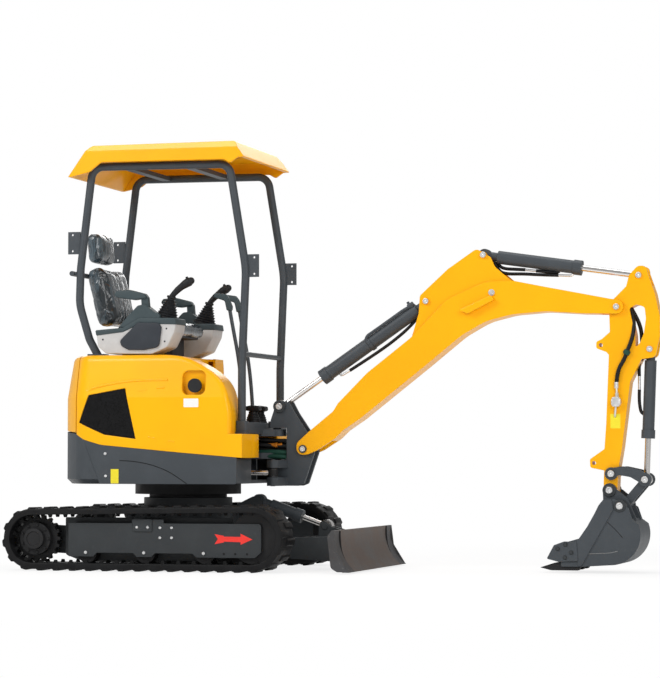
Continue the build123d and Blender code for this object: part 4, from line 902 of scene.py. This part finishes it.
class DIGGER_OT_controls(bpy.types.Operator):
    """Consoles, armrests, joysticks with their bellows, and the travel levers"""
    bl_idname = "digger.controls"
    bl_label = "Consoles and levers"

    def execute(self, context):
        tub, trim, shield, screws = Shape(), Shape(), Shape(), Shape()
        tub.plate([(-385, 1225, 26), (-393, 1292, 6), (-330, 1300), (-238, 1310), (-141, 1350), (68, 1346),
                   (60, 1300, 20), (18, 1217, 30), (-71, 1180), (-337, 1184, 30)], -424, -256)
        tub.soften(7)
        trim.plate([(-393, 1284), (-400, 1314, 8), (-240, 1326, 30), (-141, 1379, 30), (66, 1376, 10), (72, 1340),
                    (-138, 1346, 30), (-236, 1302, 30)], -429, -251)
        trim.soften(5)
        shield.plate([(-255, 1253, 20), (-149, 1354, 26), (-26, 1350, 24), (-12, 1325, 10), (-25, 1217, 30),
                      (-113, 1201, 20), (-202, 1203, 30), (-242, 1223, 20)], -438, -422)
        shield.soften(7)
        for x, z in ((-355, 1262), (14, 1318), (4, 1248)):
            screws.dome((x, -424, z), (0, -1, 0), 5, 2.5)
        tub.mirrored().done("console_tubs", "house", "light_grey_plastic",
                            replaces=["console_right", "console_left"])
        trim.mirrored().done("console_trims", "house", "trim_plastic", "black_plastic")
        shield.mirrored().done("console_shields", "house", "shield_plastic", "black_plastic")
        screws.mirrored().done("console_screws", "house", "black_plastic")
        rest = Shape()
        rest.plate([(-296, 1506, 14), (-280, 1530, 14), (-200, 1534, 40), (-116, 1512, 14), (-98, 1488, 10),
                    (-180, 1478, 60), (-276, 1492, 20)], -424, -366)
        rest.soften(14, 4)
        rest.plate([(-160, 1366), (-134, 1420, 30), (-138, 1492, 8), (-100, 1500, 10), (-92, 1420, 30),
                    (-62, 1366)], -410, -378)
        rest.plate([(-262, 1330), (-208, 1392, 20), (-152, 1448, 30), (-112, 1452, 30), (-60, 1412, 30),
                    (-26, 1396, 14), (-26, 1330)], -422, -352)
        rest.mirrored().done("armrest_pads", "house", "trim_plastic", "black_plastic", ["armrests"])
        stick = Shape()
        lean = Vector((26, 0, 110)).normalized()
        foot = (-15, -336, 1378)
        bellows = [(66, 0), (66, 8)]
        for fold in range(7):
            radius = 58 - fold * 5.2
            bellows += [(radius, 12 + fold * 14), (radius + 4, 17 + fold * 14), (radius - 6, 22 + fold * 14)]
        bellows += [(20, 112), (25, 116), (25, 126), (14, 128), (0.01, 128)]
        stick.lathe(bellows, foot, lean)
        top = Vector(foot) + lean * 122
        grip = [(0, 15), (24, 16), (52, 18), (80, 19), (106, 23), (128, 25), (142, 20), (150, 9)]
        bend = [top + Vector((d * 0.62 + d * d * 0.0012, 0, d * 0.78 - d * d * 0.0012)) for d, _ in grip]
        for (a, ra), (b, rb) in zip(zip(bend, [r for _, r in grip]), list(zip(bend, [r for _, r in grip]))[1:]):
            stick.rod(a, b, ra, rb, 28)
        for place, (_, radius) in list(zip(bend, grip))[1:-1]:
            stick.ball(place, radius)
        stick.rod(bend[5] + Vector((-8, 0, 18)), bend[5] + Vector((-13, 0, 28)), 7)
        stick.mirrored().done("joystick_handles", "house", "black_plastic", replaces=["joysticks"])
        lever, knob = Shape(), Shape()
        lever.tube([(352, -90, 786), (352, -90, 860), (330, -90, 1130), (280, -90, 1380), (268, -90, 1452)], 10.5)
        lever.lathe([(19, 0), (19, 30), (15, 44), (0.01, 46)], (340, -90, 792), (0, 0, 1))
        lever.mirrored().done("travel_lever_rods", "house", "dark_grey_paint", replaces=["travel_levers"])
        knob.plate([(176, 1520, 10), (190, 1530, 10), (250, 1522, 16), (266, 1502, 14), (286, 1452, 6), (284, 1430, 6),
                    (256, 1430, 6), (244, 1484, 16), (186, 1502, 10)], -106, -74)
        knob.soften(9, 4)
        knob.mirrored().done("travel_lever_grips", "house", "trim_plastic", "black_plastic")
        return {"FINISHED"}


class DIGGER_OT_front(bpy.types.Operator):
    """Pin ends, washers and stickers on the boom, arm, bracket and bucket"""
    bl_idname = "digger.front"
    bl_label = "Front fittings"

    pins = {
        "boom": [((689, 661), 81, 14), ((1384, 1467), 66, 15), ((1704, 1714), 66, 15), ((2434, 1421), 81, 15)],
        "arm": [((2551, 1590), 56, 15), ((2609, 1194), 56, 15), ((2401, 528), 76, 17)],
        "bucket": [((2395, 440), 98, 17), ((2463, 358), 178, 17)],
        "guide_link": [((2582, 497), 76, 17)],
        "swing_bracket": [((549, 896), 66, 17)],
    }

    def execute(self, context):
        for body, ends in self.pins.items():
            caps = Shape()
            for (x, z), y, radius in ends:
                caps.lathe([(radius * 1.1, 0), (radius * 1.1, 4), (radius * 0.98, 6.5), (radius * 0.62, 6.5),
                            (radius * 0.55, 4.5), (radius * 0.3, 4.5), (0.01, 6.5)], (x, -y, z), (0, -1, 0))
            caps.mirrored().done(f"{body}_pin_caps", body, "zinc", "cast_steel")
        bosses = Shape()
        for (x, z), y0, y1, radius in (((2395, 440), 92, 98, 36), ((2463, 358), 92, 178, 33)):
            bosses.lathe([(0.01, 0), (radius, 0), (radius, y1 - y0 - 2), (radius - 2, y1 - y0), (0.01, y1 - y0)],
                         (x, -y0, z), (0, -1, 0))
        bosses.mirrored().done("bucket_pin_bosses", "bucket", "undercarriage_black", "cast_steel")
        collar = Shape()
        collar.lathe([(0.01, 0), (34, 0), (34, 3), (32, 5), (0.01, 5)], (549, -62, 896), (0, -1, 0))
        collar.mirrored().done("bracket_pin_collars", "swing_bracket", "undercarriage_black", "cast_steel")
        eye = Shape()
        eye.lathe([(0.01, 0), (28, 0), (28, 41), (0.01, 41)], (537, -140, 510.5), (0, 0, 1))
        eye.soften(3)
        eye.done("swing_rod_eye", "swing_rod", "cast_steel")
        seams = Shape()
        for y in (-497, 497):
            seams.tube([(1016, y, 227), (1016, y, 165), (1030, y, 85), (1078, y, 10)], 5)
        seams.done("blade_seams", "blade", "hose", "blade_steel")
        label = Shape()
        label.plate([(2396, 770, 3), (2396, 848, 3), (2450, 848, 3), (2450, 770, 3)], -50.7, -49.8)
        label.done("arm_label", "arm", "sticker_yellow", "black_plastic")
        wedge = Shape()
        wedge.plate([(1574, 1412, 6), (1752, 1490, 8), (1776, 1468, 8), (1628, 1394, 6)], -112, -74)
        wedge.soften(3)
        wedge.done("boom_bracket", "boom", "yellow_paint")
        stud = Shape()
        stud.bolt((1753, -75, 1508), (0, -1, 0), 13, 12)
        stud.done("boom_bracket_stud", "boom", "zinc", "cast_steel")
        rubs = Shape()
        rubs.tube([(2284, -172, 103), (2345, -172, 106), (2415, -172, 108), (2452, -172, 119)], 2.4)
        rubs.mirrored().done("bucket_rub_lines", "bucket", "rubbed_steel", "blade_steel")
        # painted shadow: thin black lines on the bucket's sides where the gap beside the side strip lies in shade
        fold = Shape()
        fold.tube([(2398, -172, 272), (2453, -172, 222), (2478, -172, 190)], 1.6)
        fold.mirrored().done("bucket_fold_shadows", "bucket", "hose", "black_plastic")
        cutter = Shape()
        for x, z in ((2132, 129), (2174, 152), (2205, 110), (2171, 83)):
            cutter.bolt((x, -182, z), (0, -1, 0), 9, 7)
        cutter.mirrored().done("bucket_cutter_bolts", "bucket", "undercarriage_black", "cast_steel")
        return {"FINISHED"}


class DIGGER_OT_hoses(bpy.types.Operator):
    """Run the hoses and pipes along the cylinders and the arm, with the arm's valve block"""
    bl_idname = "digger.hoses"
    bl_label = "Hoses and pipes"

    runs = {
        "boom_cylinder_hose": ("boom_barrel", "hose", 9, [
            [(1334, 0, 1392), (1287, 0, 1337), (1198, 0, 1262), (1085, 0, 1184), (938, 0, 1094)]]),
        "boom_cylinder_pipes": ("boom_barrel", "zinc", 7, [
            [(940, 0, 1095), (912, 0, 1079), (889, 0, 1066), (882, 0, 1080), (870, 0, 1102)],
            [(1108, 0, 1242), (1077, 0, 1222), (1070, 0, 1236)]]),
        "boom_cylinder_line": ("boom_barrel", "dark_grey_paint", 8, [
            [(1060, -38, 1236), (1036, -38, 1252), (1044, -36, 1283), (1074, -34, 1302), (1174, -32, 1370),
             (1286, -32, 1447), (1304, -30, 1440)]]),
        "arm_cylinder_hoses": ("arm_barrel", "hose", 9, [
            [(1752, -10, 1682), (1774, -12, 1640), (1806, -12, 1611), (1923, -12, 1610), (2010, -12, 1603),
             (2110, -12, 1599)],
            [(1766, 6, 1680), (1782, 4, 1654), (1812, 2, 1640), (1866, 0, 1637), (1925, 0, 1633)],
            [(1985, 0, 1626), (2040, 0, 1621), (2100, 0, 1613), (2112, 0, 1622)]]),
        "arm_cylinder_pipes": ("arm_barrel", "zinc", 6.5, [
            [(2108, -12, 1599), (2150, -12, 1597), (2178, -10, 1595), (2190, -6, 1603), (2192, -4, 1625)],
            [(1923, 0, 1633), (1955, 0, 1629), (1987, 0, 1626)]]),
        "bucket_cylinder_hose": ("bucket_barrel", "hose", 9, [
            [(2580, 0, 1166), (2552, 0, 1150), (2543, 0, 1110), (2545, 0, 1050)],
            [(2545, 0, 978), (2543, 0, 930), (2548, 0, 880), (2556, 0, 852), (2572, 0, 846)]]),
        "bucket_cylinder_pipe": ("bucket_barrel", "zinc", 7.5, [
            [(2545, 0, 1052), (2545, 0, 1015), (2545, 0, 976)]]),
        "arm_hoses": ("arm", "hose", 11, [
            [(2504, -22, 1414), (2526, -36, 1352), (2522, -58, 1262), (2490, -62, 1182), (2473, -62, 1136),
             (2447, -62, 1096), (2435, -62, 1049), (2431, -62, 1006)],
            [(2500, 14, 1418), (2540, 12, 1351), (2561, 8, 1271), (2560, 4, 1196)]]),
        "arm_pipes": ("arm", "zinc", 6, [
            [(2431, -62, 1008), (2432, -63, 975), (2434, -66, 938)],
            [(2428, -66, 890), (2425, -64, 864), (2422, -58, 838), (2421, -48, 832)]]),
    }

    def execute(self, context):
        wide = context.scene.digger_sizes.hose / 0.0085
        for name, (body, surface, radius, lines) in self.runs.items():
            shape = Shape()
            for line in lines:
                shape.tube(line, radius * wide)
            shape.done(name, body, surface, "cast_steel" if surface == "zinc" else "black_plastic")
        clamp = Shape()
        slant = (-0.8254, 0, -0.5645)
        clamp.lathe([(39, 0), (44, 0), (44, 20), (39, 20)], (1066, 0, 1249.5), slant)
        clamp.rod((1276, -30, 1438), (1306, -30, 1458), 13)
        clamp.rod((1282, -30, 1450), (1274, -30, 1466), 8)
        clamp.done("boom_cylinder_clamp", "boom_barrel", "dark_grey_paint")
        tie = Shape()
        tie.lathe([(0.01, 0), (15, 2), (19, 8), (19, 22), (15, 28), (0.01, 30)], (2494, -62, 1190), (-0.42, 0, -0.9))
        tie.done("arm_hose_tie", "arm", "sleeve", "black_plastic")
        block = Shape()
        block.plate([(2405, 921), (2414, 938), (2446, 938), (2456, 924), (2456, 900), (2446, 886), (2414, 886),
                     (2405, 900)], -86, -50)
        block.soften(3)
        for x, z in ((2414, 930), (2447, 930), (2414, 894), (2447, 894)):
            block.bolt((x, -86, z), (0, -1, 0), 5, 4, washer=False)
        block.rod((2431, -62, 1018), (2431, -62, 984), 12)
        block.rod((2433, -64, 960), (2434, -66, 934), 10, sides=6)
        block.done("arm_valve_block", "arm", "zinc", "cast_steel")
        return {"FINISHED"}


class DIGGER_OT_nose(bpy.types.Operator):
    """The house's nose: rubber pedal boots, sleeved hoses and brass elbow"""
    bl_idname = "digger.nose"
    bl_label = "Nose fittings"

    def execute(self, context):
        boots = Shape()
        for y in (-62, 62):
            boots.lathe([(42, 0), (42, 6), (36, 12), (40, 18), (33, 24), (37, 30), (29, 36), (32, 42), (25, 48),
                         (26, 62), (0.01, 64)], (399, y, 807.5), (0, 0, 1))
            boots.plate([(352, 876, 10), (356, 896, 10), (399, 904, 30), (438, 898, 10), (441, 876, 10),
                         (408, 866, 30)], y - 30, y + 30)
        boots.soften(6)
        boots.done("pedal_boots", "house", "hose", "black_plastic")
        sleeves = Shape()
        for z, y in ((644, -44), (619, -50)):
            sleeves.tube([(404, y + 8, z), (450, y, z), (500, y - 2, z + 2), (548, y, z), (590, y + 20, z - 3),
                          (614, y + 24, z - 8)], 13)
        bend = ("house", "swing_bracket", spot(470, 0, 632), spot(585, 0, 632))
        sleeves.done("nose_hose_sleeves", bend, "sleeve", "black_plastic")
        hoses = Shape()
        for z, y in ((712, -30), (684, -58), (662, -34), (700, 40), (668, 44)):
            hoses.tube([(400, y, z + 4), (446, y, z), (500, y * 0.8, z - 4), (548, y * 0.7, z - 6),
                        (590, y * 0.6, z - 6), (612, y * 0.6, z - 4)], 12)
        hoses.done("nose_hoses", bend, "hose", "black_plastic")
        elbow = Shape()
        elbow.rod((478, -46, 682), (520, -46, 682), 12, sides=24)
        elbow.rod((520, -46, 682), (536, -46, 683), 15, sides=6)
        elbow.rod((536, -46, 683), (562, -44, 688), 8, sides=24)
        elbow.soften(2)
        elbow.done("nose_elbow", "house", "brass", "cast_steel")
        return {"FINISHED"}


class DIGGER_OT_stage(bpy.types.Operator):
    """Pale floor, white surround, soft lamps and the camera"""
    bl_idname = "digger.stage"
    bl_label = "Studio"

    def area(self, name, place, aim, size, power):
        lamp = bpy.data.lights.new(name, "AREA")
        lamp.shape, lamp.size, lamp.size_y = "RECTANGLE", size[0], size[1]
        lamp.energy = power
        holder = bpy.data.objects.new(name, lamp)
        bpy.context.scene.collection.objects.link(holder)
        holder.location = place
        holder.rotation_euler = (Vector(aim) - Vector(place)).to_track_quat("-Z", "Y").to_euler()

    def execute(self, context):
        scene = context.scene
        low = cad_box[0][2]
        floor = Finish("studio_floor")
        rays = floor.node("ShaderNodeLightPath")
        camera_ray = Term(floor, rays.socket.node.outputs["Is Camera Ray"])
        glossy_ray = Term(floor, rays.socket.node.outputs["Is Glossy Ray"])
        floor.set(Base_Color=(0.93, 0.93, 0.93), Roughness=0.9)
        white = floor.tree.nodes.new("ShaderNodeEmission")
        white.inputs["Color"].default_value = (1, 1, 1, 1)
        mix = floor.tree.nodes.new("ShaderNodeMixShader")
        away = floor.node("ShaderNodeVectorMath", {"operation": "LENGTH"}, {0: floor.place}, output=1)
        share = camera_ray * (0.8 + 0.2 * floor.between(away, 2.2, 5.0)) + glossy_ray * 0.3
        floor.tree.links.new(share.socket, mix.inputs[0])
        floor.tree.links.new(floor.shader.outputs[0], mix.inputs[1])
        floor.tree.links.new(white.outputs[0], mix.inputs[2])
        out = next(n for n in floor.tree.nodes if n.type == "OUTPUT_MATERIAL")
        floor.tree.links.new(mix.outputs[0], out.inputs["Surface"])
        bm = bmesh.new()
        bmesh.ops.create_grid(bm, x_segments=1, y_segments=1, size=60,
                              matrix=Matrix.Translation((0, 0, low)))
        mesh = bpy.data.meshes.new("studio_floor")
        bm.to_mesh(mesh)
        bm.free()
        mesh.materials.append(floor.material)
        ground = bpy.data.objects.new("studio_floor", mesh)
        scene.collection.objects.link(ground)

        world = bpy.data.worlds.new("studio")
        scene.world = world
        world.use_nodes = True
        tree = world.node_tree
        tree.nodes.clear()
        sky = tree.nodes.new("ShaderNodeBackground")
        sky.inputs["Color"].default_value = (1, 1, 1, 1)
        rays = tree.nodes.new("ShaderNodeLightPath")
        level = tree.nodes.new("ShaderNodeMapRange")
        tree.links.new(rays.outputs["Is Camera Ray"], level.inputs["Value"])
        level.inputs["To Min"].default_value = 0.4
        level.inputs["To Max"].default_value = 1.0
        tree.links.new(level.outputs[0], sky.inputs["Strength"])
        out = tree.nodes.new("ShaderNodeOutputWorld")
        tree.links.new(sky.outputs[0], out.inputs["Surface"])

        power = scene.digger_sizes.lamp
        self.area("key", spot(-3200, -5200, 5200), spot(700, 0, 900), (4.0, 3.0), 285 * power)
        self.area("fill", spot(5200, -4800, 3200), spot(900, 0, 800), (3.5, 3.5), 142 * power)
        self.area("top", spot(800, 600, 6200), spot(800, 0, 800), (6.0, 3.0), 165 * power)
        self.area("back", spot(-1500, 5200, 3600), spot(800, 0, 900), (4.0, 3.0), 100 * power)

        camera = bpy.data.cameras.new("camera")
        camera.lens = 143.36
        camera.sensor_width = 36
        camera.clip_end = 200
        holder = bpy.data.objects.new("camera", camera)
        scene.collection.objects.link(holder)
        holder.location = spot(4813.8, -14386.8, 627.9)
        pitch = math.radians(2.46)
        look = Vector((-0.26724 * math.cos(pitch), 0.96363 * math.cos(pitch), math.sin(pitch)))
        holder.rotation_euler = look.to_track_quat("-Z", "Y").to_euler()
        scene.camera = holder
        scene.view_settings.view_transform = "Standard"
        return {"FINISHED"}


class DIGGER_PT_panel(bpy.types.Panel):
    """Lists the excavator's pieces"""
    bl_idname = "DIGGER_PT_panel"
    bl_label = "Mini excavator"
    bl_space_type = "VIEW_3D"
    bl_region_type = "UI"
    bl_category = "Excavator"

    def draw(self, context):
        for group in (context.scene.digger_colours, context.scene.digger_sizes):
            for name in group.__annotations__:
                self.layout.prop(group, name)
        for kind in OPERATORS:
            self.layout.operator(kind.bl_idname)


OPERATORS = [DIGGER_OT_finishes, DIGGER_OT_tracks, DIGGER_OT_undercarriage, DIGGER_OT_house, DIGGER_OT_seat,
             DIGGER_OT_controls, DIGGER_OT_front, DIGGER_OT_hoses, DIGGER_OT_nose, DIGGER_OT_stage]
CLASSES = [DiggerColours, DiggerSizes, *OPERATORS, DIGGER_PT_panel]


def register():
    for kind in CLASSES:
        bpy.utils.register_class(kind)
    bpy.types.Scene.digger_colours = PointerProperty(type=DiggerColours)
    bpy.types.Scene.digger_sizes = PointerProperty(type=DiggerSizes)


def unregister():
    del bpy.types.Scene.digger_sizes
    del bpy.types.Scene.digger_colours
    for kind in reversed(CLASSES):
        bpy.utils.unregister_class(kind)


def main():
    register()
    bpy.ops.digger.finishes()
    bpy.ops.digger.tracks()
    bpy.ops.digger.undercarriage()
    bpy.ops.digger.house()
    bpy.ops.digger.seat()
    bpy.ops.digger.controls()
    bpy.ops.digger.front()
    bpy.ops.digger.hoses()
    bpy.ops.digger.nose()
    bpy.ops.digger.stage()


if __name__ == "__main__":
    main()
